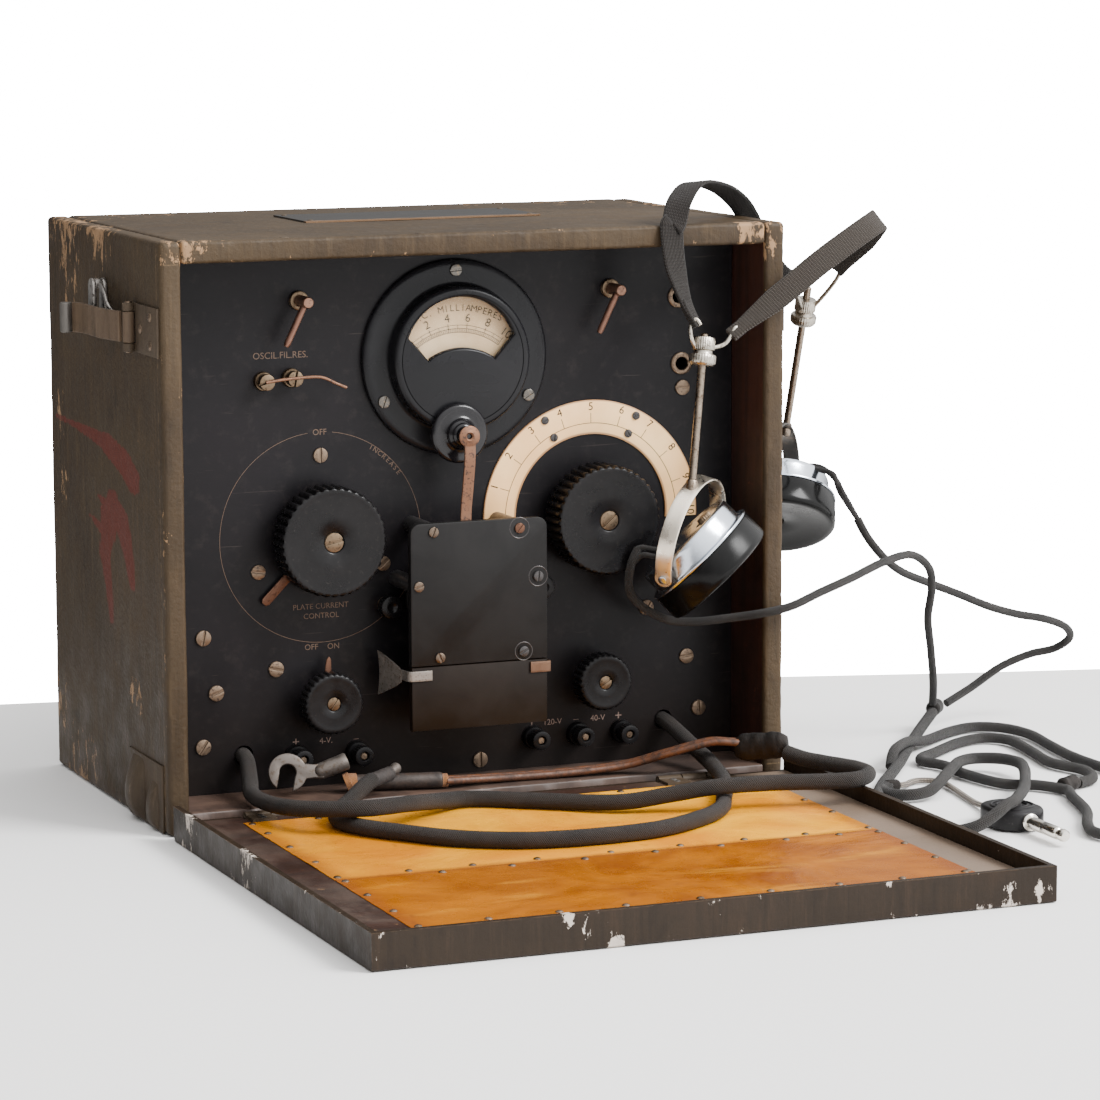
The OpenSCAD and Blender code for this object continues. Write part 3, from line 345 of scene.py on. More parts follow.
mat_case = painted("case_paint", OLIVE, OLIVE_LIGHT, TAN, case_boxes, 0.012, 0.5, 0.5, 1.0, SMEARS, CASE_CHIPS)
door_lo, door_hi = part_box("door_pan")
mat_door = painted("door_paint", srgb(27, 18, 9), srgb(36, 26, 16), srgb(160, 150, 140), [(door_lo, door_hi)], 0.005,
                   0.4, 0.42, 0.5, (), [(-60, -290, 9, 15), (-76, -290, 14, 9), (-51, -290, 3, 9),
                                        (141, -290, 4, 16), (128, -290, 2, 10),
                                        (158, -290, 8, 10), (-157, -290, 11, 12), (-165, -120, 12, 20),
                                        (-165, -30, 10, 20)])
mat_fitting = painted("fitting_paint", srgb(54, 44, 33), srgb(68, 57, 45), srgb(132, 118, 100),
                      [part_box("latch_leaves"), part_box("corner_shoes")], 0.003, 0.9, 0.5, 0.5)


def simple_metal(name, base, rough, variation=0.25, metallic=1.0, grime=None, scale=60):
    k = Look(name)
    n = k.noise(scale, 5, 0.6, 0.3)
    tone = k.mix(n, [v * (1 - variation) for v in base], [min(1, v * (1 + variation)) for v in base])
    if grime:
        tone = k.mix(k.step(k.noise(scale * 2.2, 5, 0.7), 0.52, 0.66), tone, grime)
    k.set(base_color=tone, metallic=metallic, roughness=k.step(n, 0.25, 0.75, rough * 0.7, min(1, rough * 1.3)))
    k.bump((k.noise(scale * 8, 4), 0.12, 0.0003))
    return k.mat


def plastic(name, base, rough, mottled=0.5, dust=0.0, scale=35, gloss=0.16):
    k = Look(name)
    n = k.noise(scale, 5, 0.6, 0.5)
    tone = k.mix(k.step(n, 0.35, 0.7, 0, mottled), base, [min(1, v * 1.8 + 0.004) for v in base])
    if dust:
        d = k.noise(scale * 9, 3, 0.6)
        tone = k.mix(k.step(d, 0.6, 0.8, 0, dust), tone, (0.16, 0.14, 0.12))
    k.set(base_color=tone, roughness=k.step(n, 0.25, 0.75, max(0.05, rough - 0.1), rough + 0.12),
          specular_ior_level=gloss)
    k.bump((k.noise(scale * 12, 3), 0.08, 0.0003))
    return k.mat


mat_card = plastic("card_sheet", srgb(17, 16, 16), 0.42, 0.4)
mat_knob = plastic("knob_moulding", srgb(11, 10, 11), 0.3, 0.6, 0.08, 60)
mat_gloss = plastic("gloss_moulding", srgb(17, 16, 18), 0.16, 0.4, gloss=0.3)
mat_brass = simple_metal("dull_brass", (0.14, 0.10, 0.065), 0.42, 0.3, 1.0, (0.045, 0.032, 0.02), 260)
mat_copper = simple_metal("brown_copper", (0.11, 0.055, 0.035), 0.5, 0.35, 0.85, (0.06, 0.03, 0.02), 240)
mat_nickel = simple_metal("nickel_plate", (0.74, 0.70, 0.63), 0.16, 0.1, 1.0, None, 120)
mat_steel = simple_metal("worn_steel", (0.30, 0.28, 0.26), 0.45, 0.3, 1.0, (0.06, 0.05, 0.045), 200)
mat_lead = simple_metal("grey_lead", (0.10, 0.085, 0.075), 0.55, 0.35, 0.7, (0.07, 0.05, 0.035), 240)
mat_iron = simple_metal("inner_iron", (0.12, 0.11, 0.10), 0.5, 0.3, 0.8, None, 90)
mat_alu = simple_metal("dull_aluminium", (0.55, 0.55, 0.53), 0.4, 0.1, 1.0, None, 90)


# ---------------------------------------------------------------- mesh building
def facing(x, z, y=0.0, turn=0.0):
    """Millimetre shapes drawn as seen from the front: local x right, y up, z towards the viewer."""
    m = Matrix(((1, 0, 0), (0, 0, -1), (0, 1, 0))).to_4x4()
    return Matrix.Translation(at(x, y, z)) @ Matrix.Scale(MM, 4) @ m @ Matrix.Rotation(math.radians(turn), 4, "Z")


def placed(x, y, z, euler=(0, 0, 0)):
    r = Euler([math.radians(a) for a in euler], "XYZ").to_matrix().to_4x4()
    return Matrix.Translation(at(x, y, z)) @ r @ Matrix.Scale(MM, 4)


FLAT = Matrix.Translation(at(0, 0, 0)) @ Matrix.Scale(MM, 4)


class Build:
    """Gathers several shapes into one mesh piece."""

    def __init__(self):
        self.verts, self.faces, self.mats, self.uvs = [], [], [], []

    def add(self, shape, place=FLAT, mat=0):
        verts, faces, *rest = shape
        uvs = rest[0] if rest else None
        base = len(self.verts)
        self.verts += [tuple(place @ Vector(v)) for v in verts]
        for i, f in enumerate(faces):
            self.faces.append([base + j for j in f])
            self.mats.append(mat)
            self.uvs.append(uvs[i] if uvs else [(0, 0)] * len(f))
        return self

    def make(self, name, looks, body="case", slot=None, replaces=(), sharp=35, path_info=None):
        me = bpy.data.meshes.new(name)
        me.from_pydata(self.verts, [], self.faces)
        layer = me.uv_layers.new(name="UVMap")
        flat = [c for f in self.uvs for uv in f for c in uv]
        layer.data.foreach_set("uv", flat)
        me.polygons.foreach_set("material_index", self.mats)
        bm = bmesh.new()
        bm.from_mesh(me)
        bmesh.ops.remove_doubles(bm, verts=bm.verts, dist=1e-7)
        bmesh.ops.recalc_face_normals(bm, faces=bm.faces)
        bm.to_mesh(me)
        bm.free()
        me.polygons.foreach_set("use_smooth", [True] * len(me.polygons))
        me.set_sharp_from_angle(angle=math.radians(sharp))
        me.validate()
        for m in looks if isinstance(looks, (list, tuple)) else [looks]:
            me.materials.append(m)
        ob = bpy.data.objects.new(name, me)
        bpy.context.scene.collection.objects.link(ob)
        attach(ob, body)
        if replaces:
            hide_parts(*([replaces] if isinstance(replaces, str) else replaces))
        return ob


def turned(profile, segs=64, sweep=360):
    """A profile of (radius, height) turned round local z."""
    verts, faces, rings = [], [], []
    full = sweep == 360
    count = segs if full else segs + 1
    for r, h in profile:
        if r == 0:
            rings.append([len(verts)])
            verts.append((0, 0, h))
        else:
            rings.append(list(range(len(verts), len(verts) + count)))
            for i in range(count):
                a = math.radians(sweep) * i / segs
                verts.append((r * math.cos(a), r * math.sin(a), h))
    for a, b in zip(rings, rings[1:]):
        for i in range(segs):
            j = (i + 1) % count
            if len(a) == 1 and len(b) > 1:
                faces.append([a[0], b[i], b[j]])
            elif len(b) == 1 and len(a) > 1:
                faces.append([a[i], b[0], a[j]])
            elif len(a) > 1:
                faces.append([a[i], b[i], b[j], a[j]])
    return verts, faces


def fluted(profile, flutes, depth, per=8):
    """Like turned, but each profile point is (radius, height, how deep the flutes are there)."""
    segs = flutes * per
    verts, faces, rings = [], [], []
    for r, h, w in profile:
        if r == 0:
            rings.append([len(verts)])
            verts.append((0, 0, h))
            continue
        rings.append(list(range(len(verts), len(verts) + segs)))
        for i in range(segs):
            a = 2 * math.pi * i / segs
            s = 0.5 - 0.5 * math.cos(a * flutes)
            rr = r - depth * w * s ** 2
            verts.append((rr * math.cos(a), rr * math.sin(a), h))
    for a, b in zip(rings, rings[1:]):
        for i in range(segs):
            j = (i + 1) % segs
            if len(b) == 1:
                faces.append([a[i], b[0], a[j]])
            elif len(a) == 1:
                faces.append([a[0], b[i], b[j]])
            else:
                faces.append([a[i], b[i], b[j], a[j]])
    return verts, faces


def rounded(lo, hi, r=0.5, steps=2):
    """A box with rounded edges."""
    bm = bmesh.new()
    bmesh.ops.create_cube(bm, size=1)
    size = [hi[i] - lo[i] for i in range(3)]
    for v in bm.verts:
        v.co = Vector([lo[i] + (v.co[i] + 0.5) * size[i] for i in range(3)])
    r = min(r, min(size) * 0.49)
    bmesh.ops.bevel(bm, geom=bm.edges[:], offset=r, segments=steps, profile=0.5, affect="EDGES")
    out = [tuple(v.co) for v in bm.verts], [[v.index for v in f.verts] for f in bm.faces]
    bm.free()
    return out


def inset_ring(outline, d):
    """The outline moved inwards by d, keeping its point count; the outline runs counter-clockwise."""
    out = []
    n = len(outline)
    for i in range(n):
        a, b, c = (Vector(outline[k % n]) for k in (i - 1, i, i + 1))
        e1, e2 = (b - a).normalized(), (c - b).normalized()
        n1, n2 = Vector((-e1.y, e1.x)), Vector((-e2.y, e2.x))
        m = (n1 + n2).normalized()
        s = d / max(0.35, m.dot(n1))
        out.append((b.x + m.x * s, b.y + m.y * s))
    return out


def area2(outline):
    return sum(a[0] * b[1] - b[0] * a[1] for a, b in zip(outline, outline[1:] + outline[:1]))


def prism(outline, h0, h1, bevel=0.3, back=False):
    """An outline raised from h0 to h1 with a softened front edge, and back edge if asked."""
    if area2(outline) < 0:
        outline = outline[::-1]
    rings = []
    q = bevel * 0.3
    soft = inset_ring(outline, q)
    inner = inset_ring(outline, bevel)
    if back:
        rings += [(inner, h0), (soft, h0 + q), (outline, h0 + bevel)]
    else:
        rings += [(outline, h0)]
    rings += [(outline, h1 - bevel), (soft, h1 - q), (inner, h1)]
    verts = [(x, y, h) for ring, h in rings for x, y in ring]
    n = len(outline)
    faces = [[k * n + i, k * n + (i + 1) % n, (k + 1) * n + (i + 1) % n, (k + 1) * n + i]
             for k in range(len(rings) - 1) for i in range(n)]
    faces.append(list(range(n))[::-1])
    faces.append([(len(rings) - 1) * n + i for i in range(n)])
    return verts, faces


def plate(outlines, h0, h1, bevel=0.3, steps=2):
    """A flat plate with holes: the first outline is the outside, the others are holes."""
    cu = bpy.data.curves.new("tmp", "CURVE")
    cu.dimensions = "2D"
    cu.fill_mode = "BOTH"
    cu.extrude = max(1e-4, (h1 - h0) / 2 - bevel)
    cu.bevel_depth = bevel
    cu.bevel_resolution = steps
    cu.offset = -bevel
    for k, line in enumerate(outlines):
        if (area2(line) < 0) != (k > 0):
            line = line[::-1]
        sp = cu.splines.new("POLY")
        sp.points.add(len(line) - 1)
        for p, (x, y) in zip(sp.points, line):
            p.co = (x, y, 0, 1)
        sp.use_cyclic_u = True
    ob = bpy.data.objects.new("tmp", cu)
    bpy.context.scene.collection.objects.link(ob)
    bpy.context.view_layer.update()
    me = bpy.data.meshes.new_from_object(ob.evaluated_get(bpy.context.evaluated_depsgraph_get()))
    mid = (h0 + h1) / 2
    out = [(v.co.x, v.co.y, v.co.z + mid) for v in me.vertices], [list(p.vertices) for p in me.polygons]
    bpy.data.objects.remove(ob)
    bpy.data.curves.remove(cu)
    bpy.data.meshes.remove(me)
    return out


def circle_pts(r, n=48, cx=0.0, cy=0.0, a0=0, a1=360):
    full = a1 - a0 == 360
    return [(cx + r * math.cos(math.radians(a0 + (a1 - a0) * i / (n if full else n - 1))),
             cy + r * math.sin(math.radians(a0 + (a1 - a0) * i / (n if full else n - 1)))) for i in range(n)]


def smooth_line(points, k=6):
    """The same curve through the points as the CAD routes use."""
    p = [Vector(q) for q in points]
    out = []
    for i in range(len(p) - 1):
        a, b, c, d = p[max(i - 1, 0)], p[i], p[i + 1], p[min(i + 2, len(p) - 1)]
        for j in range(k):
            t = j / k
            out.append(0.5 * ((2 * b) + (c - a) * t + (2 * a - 5 * b + 4 * c - d) * t * t
                              + (3 * b - a - 3 * c + d) * t * t * t))
    out.append(p[-1])
    return out


def even(line, gap):
    """The line again with points an equal distance apart."""
    line = [Vector(p) for p in line]
    acc = [0.0]
    for a, b in zip(line, line[1:]):
        acc.append(acc[-1] + (b - a).length)
    n = max(2, round(acc[-1] / gap))
    out, i = [], 0
    for k in range(n + 1):
        s = acc[-1] * k / n
        while i < len(acc) - 2 and acc[i + 1] < s:
            i += 1
        t = 0 if acc[i + 1] == acc[i] else (s - acc[i]) / (acc[i + 1] - acc[i])
        out.append(line[i].lerp(line[i + 1], min(1, max(0, t))))
    return out


def line_frames(line, up=None):
    n = len(line)
    tans = [(line[min(i + 1, n - 1)] - line[max(i - 1, 0)]).normalized() for i in range(n)]
    u = Vector(up) if up else (Vector((1, 0, 0)) if abs(tans[0].z) > 0.8 else Vector((0, 0, 1)))
    out = []
    for t in tans:
        u = (u - t * u.dot(t)).normalized()
        out.append((t, u.copy(), t.cross(u)))
    return out


def hose(line, radius, sides=14, caps=True):
    """A round tube along a line in mm. radius is a number or a function of (index, angle)."""
    fr = line_frames(line)
    verts, faces, uvs = [], [], []
    run = 0.0
    runs = []
    for i, (p, (t, u, v)) in enumerate(zip(line, fr)):
        if i:
            run += (line[i] - line[i - 1]).length
        runs.append(run)
        for j in range(sides):
            a = 2 * math.pi * j / sides
            r = radius(i, a, run) if callable(radius) else radius
            verts.append(p + (u * math.cos(a) + v * math.sin(a)) * r)
    for i in range(len(line) - 1):
        for j in range(sides):
            k = (j + 1) % sides
            faces.append([i * sides + j, i * sides + k, (i + 1) * sides + k, (i + 1) * sides + j])
            uvs.append([(j / sides, runs[i] * MM), ((j + 1) / sides, runs[i] * MM),
                        ((j + 1) / sides, runs[i + 1] * MM), (j / sides, runs[i + 1] * MM)])
    if caps:
        for i, s in ((0, -1), (len(line) - 1, 1)):
            c = len(verts)
            verts.append(line[i] + fr[i][0] * s * 0.15 * (radius(i, 0, runs[i]) if callable(radius) else radius))
            for j in range(sides):
                k = (j + 1) % sides
                faces.append([c, i * sides + j, i * sides + k])
                uvs.append([(0.5, runs[i] * MM)] * 3)
    return [tuple(v) for v in verts], faces, uvs


def ribbon(line, sides_dir, width, thick, ends=1.0, reach=30.0):
    """A flat strap along a line in mm, with rounded edges; sides_dir is the width's direction at each point."""
    n = len(line)
    total = sum((b - a).length for a, b in zip(line, line[1:]))
    section = []
    half, th = width / 2, thick / 2
    for a, b in ((-1, -0.35), (-0.96, -0.85), (-0.85, -1), (-0.5, -1), (0, -1), (0.5, -1), (0.85, -1), (0.96, -0.85),
                 (1, -0.35), (1, 0.35), (0.96, 0.85), (0.85, 1), (0.5, 1), (0, 1), (-0.5, 1), (-0.85, 1),
                 (-0.96, 0.85), (-1, 0.35)):
        section.append((a * half, b * th))
    m = len(section)
    verts, faces, uvs = [], [], []
    run, runs = 0.0, []
    for i in range(n):
        t = (line[min(i + 1, n - 1)] - line[max(i - 1, 0)]).normalized()
        u = sides_dir[i] - t * sides_dir[i].dot(t)
        u.normalize()
        v = t.cross(u)
        if i:
            run += (line[i] - line[i - 1]).length
        runs.append(run)
        wide = ends + (1 - ends) * min(1.0, min(run, total - run) / reach)
        for a, b in section:
            verts.append(tuple(line[i] + u * a * wide + v * b))
    for i in range(n - 1):
        for j in range(m):
            k = (j + 1) % m
            faces.append([i * m + j, i * m + k, (i + 1) * m + k, (i + 1) * m + j])
            ua, ub = (section[j][0] / half * 0.5 + 0.5), (section[k][0] / half * 0.5 + 0.5)
            uvs.append([(ua, runs[i] * MM), (ub, runs[i] * MM), (ub, runs[i + 1] * MM), (ua, runs[i + 1] * MM)])
    for i, flip in ((0, True), (n - 1, False)):
        ring = [i * m + j for j in range(m)]
        faces.append(ring[::-1] if flip else ring)
        uvs.append([(0.5, runs[i] * MM)] * m)
    return verts, faces, uvs


def dress(node, look, bevel=0.4, steps=2, angle=40):
    """Gives a CAD node its material, soft edges and smooth shading."""
    ob = frame["nodes"][node]
    ob.data.materials.clear()
    ob.data.materials.append(look)
    if bevel:
        b = ob.modifiers.new("soft_edges", "BEVEL")
        b.width = bevel * MM
        b.segments = steps
        b.limit_method = "ANGLE"
        b.angle_limit = math.radians(angle)
        b.miter_outer = "MITER_ARC"
    ob.data.polygons.foreach_set("use_smooth", [True] * len(ob.data.polygons))
    ob.data.set_sharp_from_angle(angle=math.radians(30))
    w = ob.modifiers.new("even_shading", "WEIGHTED_NORMAL")
    w.keep_sharp = True
    return ob


# ---------------------------------------------------------------- cords and leads
LEFT_CABLE = [(-113.5, 46, 29.5), (-114, 34, 28), (-117, 20, 21), (-121, 4, 17), (-121, -22, 17.5),
    (-116, -48, 19.8), (-103, -66, 21.9), (-86, -71, 21.9), (-62, -60, 20), (-40, -42, 16), (-20, -33, 13.8),
    (9, -50, 13.6), (41, -74, 14.8), (66, -84, 18.8), (86, -91, 22), (115, -93, 22), (140, -99, 21.8),
    (157, -101, 21.8), (168, -92, 22), (168, -78, 22.2), (161, -60, 22), (155, -46, 22.2), (150, -36, 23.8)]
RIGHT_CABLE = [(115, 46, 30.7), (115.3, 34, 29.5), (117, 14, 24), (118, 0, 20), (118, -14, 17), (114, -36, 14.2),
    (105, -60, 13.6), (95, -80, 13.6), (84, -101, 13.6), (66, -118, 13.6), (36, -133, 13.6), (2, -136, 13.6),
    (-30, -131, 13.6), (-58, -115, 13.6), (-78, -92, 13.6), (-92, -72, 13.6), (-97, -55, 13.8), (-92, -40, 14.8),
    (-82, -29, 17), (-72, -18.5, 20.3), (-63.5, -9, 21.8)]
WIRE = [(-18.8, 9.6, 15.2), (10, 13.5, 13.6), (45, 12.5, 13.4), (77, 8, 15.5), (97, -4, 22.5), (116, -13, 28.4),
    (126, -17, 28.4), (133, -18.5, 27.5)]
BRANCH_1 = [(88, 10, 126), (84, 10, 117), (85, 14, 104), (94, 16, 94), (108, 15, 87), (122, 11, 86), (138, 4, 88),
    (152, -5.5, 91), (166, -8, 94), (184, -3, 99), (206, 5, 104), (233, 20, 109), (256, 35, 109), (271, 44, 100),
    (277, 52, 87), (279, 60, 70), (286, 70, 52), (294, 82, 31), (300, 94, 16)]
BRANCH_2 = [(237, 61, 126), (240.5, 58.5, 118), (246, 57, 110), (255, 58.5, 101.5), (268, 66, 94), (288, 76, 86),
    (308, 79, 78), (327, 81, 70), (346, 84, 64), (364, 85, 60), (379, 89, 54), (387, 98, 46), (382, 106, 39),
    (368, 109.5, 36), (350, 110, 30), (332, 109.5, 20), (314, 105, 13)]
TRUNK = [(300, 94, 11), (284, 76, 7), (262, 47, 4), (240, 14, 3.4), (221, -13, 3.2), (203, -38, 3.2),
    (188, -63, 3.2), (179, -88, 3.2), (175, -114, 3.2), (176, -137, 3.2), (183, -152, 3.6), (193.5, -158, 6.2),
    (204, -157, 10.8), (212.5, -153, 14.3), (221, -146, 14.5), (232, -131, 13.7), (248, -106, 11), (265, -76, 9),
    (277, -53, 8.5), (283.5, -35, 8), (281, -19, 7.4), (269, -12.5, 7.2), (256.5, -20, 7.6), (243, -37, 8),
    (230, -53, 7.4), (222, -62, 6.3), (215, -67.5, 5), (207.5, -69, 4.2), (200.5, -66, 3.6), (196.5, -59.5, 3.3),
    (196.2, -51.5, 3.2), (200, -44.5, 3.2), (206, -41.5, 3.2)]
TAIL = [(206, -41.5, 3.2), (212, -40.5, 3), (217.5, -37, 2.4), (222.5, -31.5, 2), (229, -28, 1.7),
    (235.5, -31, 1.6), (238, -39, 1.6), (236, -54, 1.6), (233, -70, 1.6), (230, -88, 1.6), (227.5, -103, 2.8),
    (225, -113, 4.6), (224.5, -118.6, 5.4)]
LOOP = [(228, 2, 3.4), (232, 8, 8), (238, 15, 10.2), (256, 36, 8.6), (276, 56, 4), (303, 78, 3), (321, 84, 3),
    (334, 74, 3), (338, 52, 3), (333, 20, 3), (329, -12, 3), (330, -45, 3), (338, -76, 3), (343, -110, 3),
    (331, -150, 3), (303, -182, 3), (272, -195, 3), (253, -191, 3), (247.5, -178, 3), (254, -160, 3),
    (268, -134, 3), (279, -100, 3), (284, -84, 3), (276, -68, 3), (262, -58, 3), (256, -30, 3), (256, -4, 3),
    (251, 8, 3), (254, 18, 3), (268, 29, 3), (292, 48, 3), (310, 54, 3), (320, 42, 3), (316, 10, 3), (311, -20, 3),
    (317, -44, 3), (311, -64, 3), (298, -72, 3)]


def braid(name, base, pale, around, along, deep=0.0006, rough=0.9, fuzz=0.3, fleck=None):
    """Braided cotton over a round cord: two crossing spirals of threads, from the tube's own UVs."""
    k = Look(name)
    u, v, _ = k.xyz(k.node("ShaderNodeTexCoord").outputs["UV"])
    jitter = k.calc("MULTIPLY", k.noise(900, 3), 0.5)
    up = k.calc("ADD", k.calc("MULTIPLY", u, around), k.calc("MULTIPLY", v, along))
    down = k.calc("SUBTRACT", k.calc("MULTIPLY", u, around), k.calc("MULTIPLY", v, along))
    a = k.calc("SINE", k.calc("ADD", k.calc("MULTIPLY", up, 2 * math.pi), jitter))
    b = k.calc("SINE", k.calc("ADD", k.calc("MULTIPLY", down, 2 * math.pi), jitter))
    weave = k.calc("MULTIPLY", k.calc("ABSOLUTE", a), k.calc("ABSOLUTE", b))
    weave = k.calc("POWER", weave, 0.5)
    tone = k.mix(weave, [x * 0.35 for x in base], pale)
    tone = k.mix(k.step(k.noise(60, 5, 0.7), 0.35, 0.7), tone, base)
    if fleck:
        tone = k.mix(k.step(k.calc("MULTIPLY", a, b), 0.35, 0.5), tone, fleck)
    lint = k.noise(1500, 2)
    k.set(base_color=tone, roughness=rough, specular_ior_level=0.25)
    k.set(sheen_weight=fuzz)
    k.bump((weave, 0.9, deep), (lint, 0.35, 0.0002))
    return k.mat


mat_cable = braid("cable_braid", srgb(22, 16, 11), srgb(44, 34, 27), 8, 520, 0.0008, 0.6, 0.05)
mat_cord = braid("cord_braid", srgb(20, 18, 17), srgb(46, 42, 39), 5, 480, 0.0008, 0.9, 0.1)
mat_tail = braid("tail_braid", srgb(52, 42, 36), srgb(110, 98, 86), 4, 560, 0.0005, 0.9, 0.3, srgb(178, 164, 146))


def rubbery(name, base, dark, rough=0.6):
    k = Look(name)
    n = k.noise(240, 5, 0.65, 0.3)
    cracks = k.cells(900, "DISTANCE_TO_EDGE")
    tone = k.mix(k.step(n, 0.35, 0.68), base, dark)
    tone = k.mix(k.step(k.noise(700, 4, 0.7), 0.55, 0.7, 0, 0.6), tone, [v * 1.7 for v in base])
    k.set(base_color=tone, roughness=k.step(n, 0.3, 0.7, rough - 0.12, rough + 0.15))
    k.bump((n, 0.4, 0.0006), (cracks, 0.25, 0.0002))
    return k.mat


mat_rubber = rubbery("aged_rubber", srgb(84, 46, 20), srgb(44, 25, 13))
mat_sleeve = rubbery("brown_sleeve", srgb(50, 38, 31), srgb(30, 22, 18), 0.6)
mat_dark_sleeve = rubbery("dark_sleeve", srgb(46, 39, 36), srgb(28, 24, 22), 0.65)


def taped(name):
    k = Look(name)
    x, y, z = k.xyz()
    wrap = k.wave(300, 2.5, k.coords((1, 1, 1), (0, 40, 30)), "X", "SAW", 3)
    n = k.noise(420, 5, 0.7)
    k.set(base_color=k.mix(n, srgb(24, 22, 21), srgb(46, 41, 38)), roughness=0.85, specular_ior_level=0.3)
    k.bump((wrap, 0.8, 0.0012), (n, 0.6, 0.0006), (k.noise(1600, 2), 0.4, 0.0003))
    return k.mat


mat_tape = taped("friction_tape")


def lay_cord(name, route, radius, look, slot, node, body="case", sides=14, gap=1.6, ribs=None, **facts):
    line = even(smooth_line(route, 8), gap)
    wobble = lambda i, a, run: radius * (1 + 0.02 * noise.noise(line[i] * 0.12) + (ribs(a, run) if ribs else 0))
    b = Build().add(hose(line, wobble, sides))
    ob = b.make(name, look, body, slot, node, sharp=80)
    return ob


def lump(build, centre, euler, length, radius, mat=0, rough=0.12, seed=0.0, taper=0.75):
    """A taped or bound lump: a barrel whose ends taper, a little uneven."""
    profile = []
    n = 26
    verts, faces = [], []
    for i in range(n + 1):
        t = i / n
        e = min(1, min(t, 1 - t) * 5)
        r = radius * (taper + (1 - taper) * math.sin(e * math.pi / 2))
        r *= 1 + 0.01 * math.sin(t * 60)
        profile.append((r, -length / 2 + length * t))
    sides = 32
    for r, h in profile:
        for j in range(sides):
            a = 2 * math.pi * j / sides
            q = r * (1 + rough * noise.noise(Vector((math.cos(a) * 1.3, math.sin(a) * 1.3, h * 0.25 + seed))))
            verts.append((q * math.cos(a), q * math.sin(a), h))
    for k in range(n):
        for j in range(sides):
            m = (j + 1) % sides
            faces.append([k * sides + j, k * sides + m, (k + 1) * sides + m, (k + 1) * sides + j])
    faces.append(list(range(sides))[::-1])
    faces.append([n * sides + j for j in range(sides)])
    build.add((verts, faces), placed(*centre, euler), mat)


y_joint = Build()
lump(y_joint, (304, 99, 12.6), (90, 0, 140), 12.5, 4.2, rough=0.06, seed=4)
y_joint = y_joint.make("cord_y_joint", mat_cord, "case", "tape", "cord_joints", 60)
loop_joint = Build()
lump(loop_joint, (290, -76, 4), (90, 0, 120), 15, 4, seed=2)
loop_joint = loop_joint.make("loop_joint", mat_tape, "case", "tape", (), 60)
tail_joint = Build()
lump(tail_joint, (206.5, -41.4, 3.2), (90, 0, 100), 9, 3.2, seed=9)
tail_joint = tail_joint.make("tail_joint", mat_tape, "case", "tape", (), 60)
tape_joint = Build()
lump(tape_joint, (141, -25, 26), (0, 84, -32), 27, 6.9, rough=0.1, seed=1, taper=0.62)
tape_joint = tape_joint.make("tape_joint", mat_tape, "case", "tape", (), 60)

mat_string = braid("binding_string", srgb(150, 92, 44), srgb(196, 132, 74), 3, 900, 0.0004, 0.8, 0.2)


def string_wrap(build, centre, euler, radius, length, turns, wire=0.5, mat=0):
    line = []
    for i in range(turns * 14 + 1):
        a = 2 * math.pi * i / 14
        line.append(Vector((radius * math.cos(a), radius * math.sin(a), -length / 2 + length * i / (turns * 14))))
    build.add(hose(line, wire, 6), placed(*centre, euler), mat)


# the fork lug of the left lead: a flattened ring with a mouth, its barrel bound with string
def fork_outline():
    start, end = -104 - 24.6, -104 + 24.6
    outer = circle_pts(9.7, 40, 0, 0, end - 0.5, 360 + start + 0.5)
    a, b = Vector(outer[0]), Vector(outer[-1])
    inner = circle_pts(4.2, 26, 0, 0, -104 + 72, -104 + 288)
    pts = []
    neck = False
    for p in outer:
        ang = math.degrees(math.atan2(p[1], p[0]))
        if -22 < ang < 24:
            if not neck:
                pts += [(9.3, -3.6), (13, -3.3), (18.2, -3.4), (18.2, 3.6), (13, 3.5), (9.0, 4.2)]
                neck = True
            continue
        pts.append(p)
    return pts + inner[::-1]


lugs = Build()
lugs.add(prism(fork_outline(), 0, 2.5, 0.5, True), placed(-97.2, 21, 22.6, (68, 0, -10)), 0)
barrel_place = placed(-82.5, 18.4, 22.2, (90, 0, 82)) @ Matrix.Rotation(math.radians(-19), 4, "X")
lugs.add(turned([(0, -1.5), (2.6, -1.2), (3.7, 0), (4.1, 2), (4.3, 8), (4.2, 12), (4.35, 15.6), (3.9, 16.2),
                 (0, 16.2)], 40),
         barrel_place, 0)
sleeve_line = [Vector((0, 0, z)) for z in np.linspace(-1.5, 43.3, 40)]
fork_sleeve = Build().add(hose(sleeve_line, lambda i, a, r: 4.0 + 0.12 * noise.noise(Vector((a, i * 0.22,
                                                                                             0))) - (0.5 if i in (0,
                                                                                                                  39) else 0),
              28), placed(-62, 18.2, 15.6, (90, 0, 76)))
fork_sleeve = fork_sleeve.make("fork_sleeve", mat_sleeve, "case", "orange_rubber", (), 60)
lugs.make("fork_lug", mat_lead, "case", "lead_metal", "lead_lugs", 50)
binding = Build()
for k, (c, r, w) in enumerate([((-64.3, 17.6, 15.8), 4.35, 4.5), ((-19.6, 7.8, 15.2), 3.1, 5)]):
    string_wrap(binding, c, (90, 0, 76), r, w, 7, 0.45)
string_wrap(binding, (-66.6, 16.8, 16.6), (70, 10, 70), 4.4, 3, 4, 0.4)
binding = binding.make("string_binding", mat_string, "case", "cord_cloth")

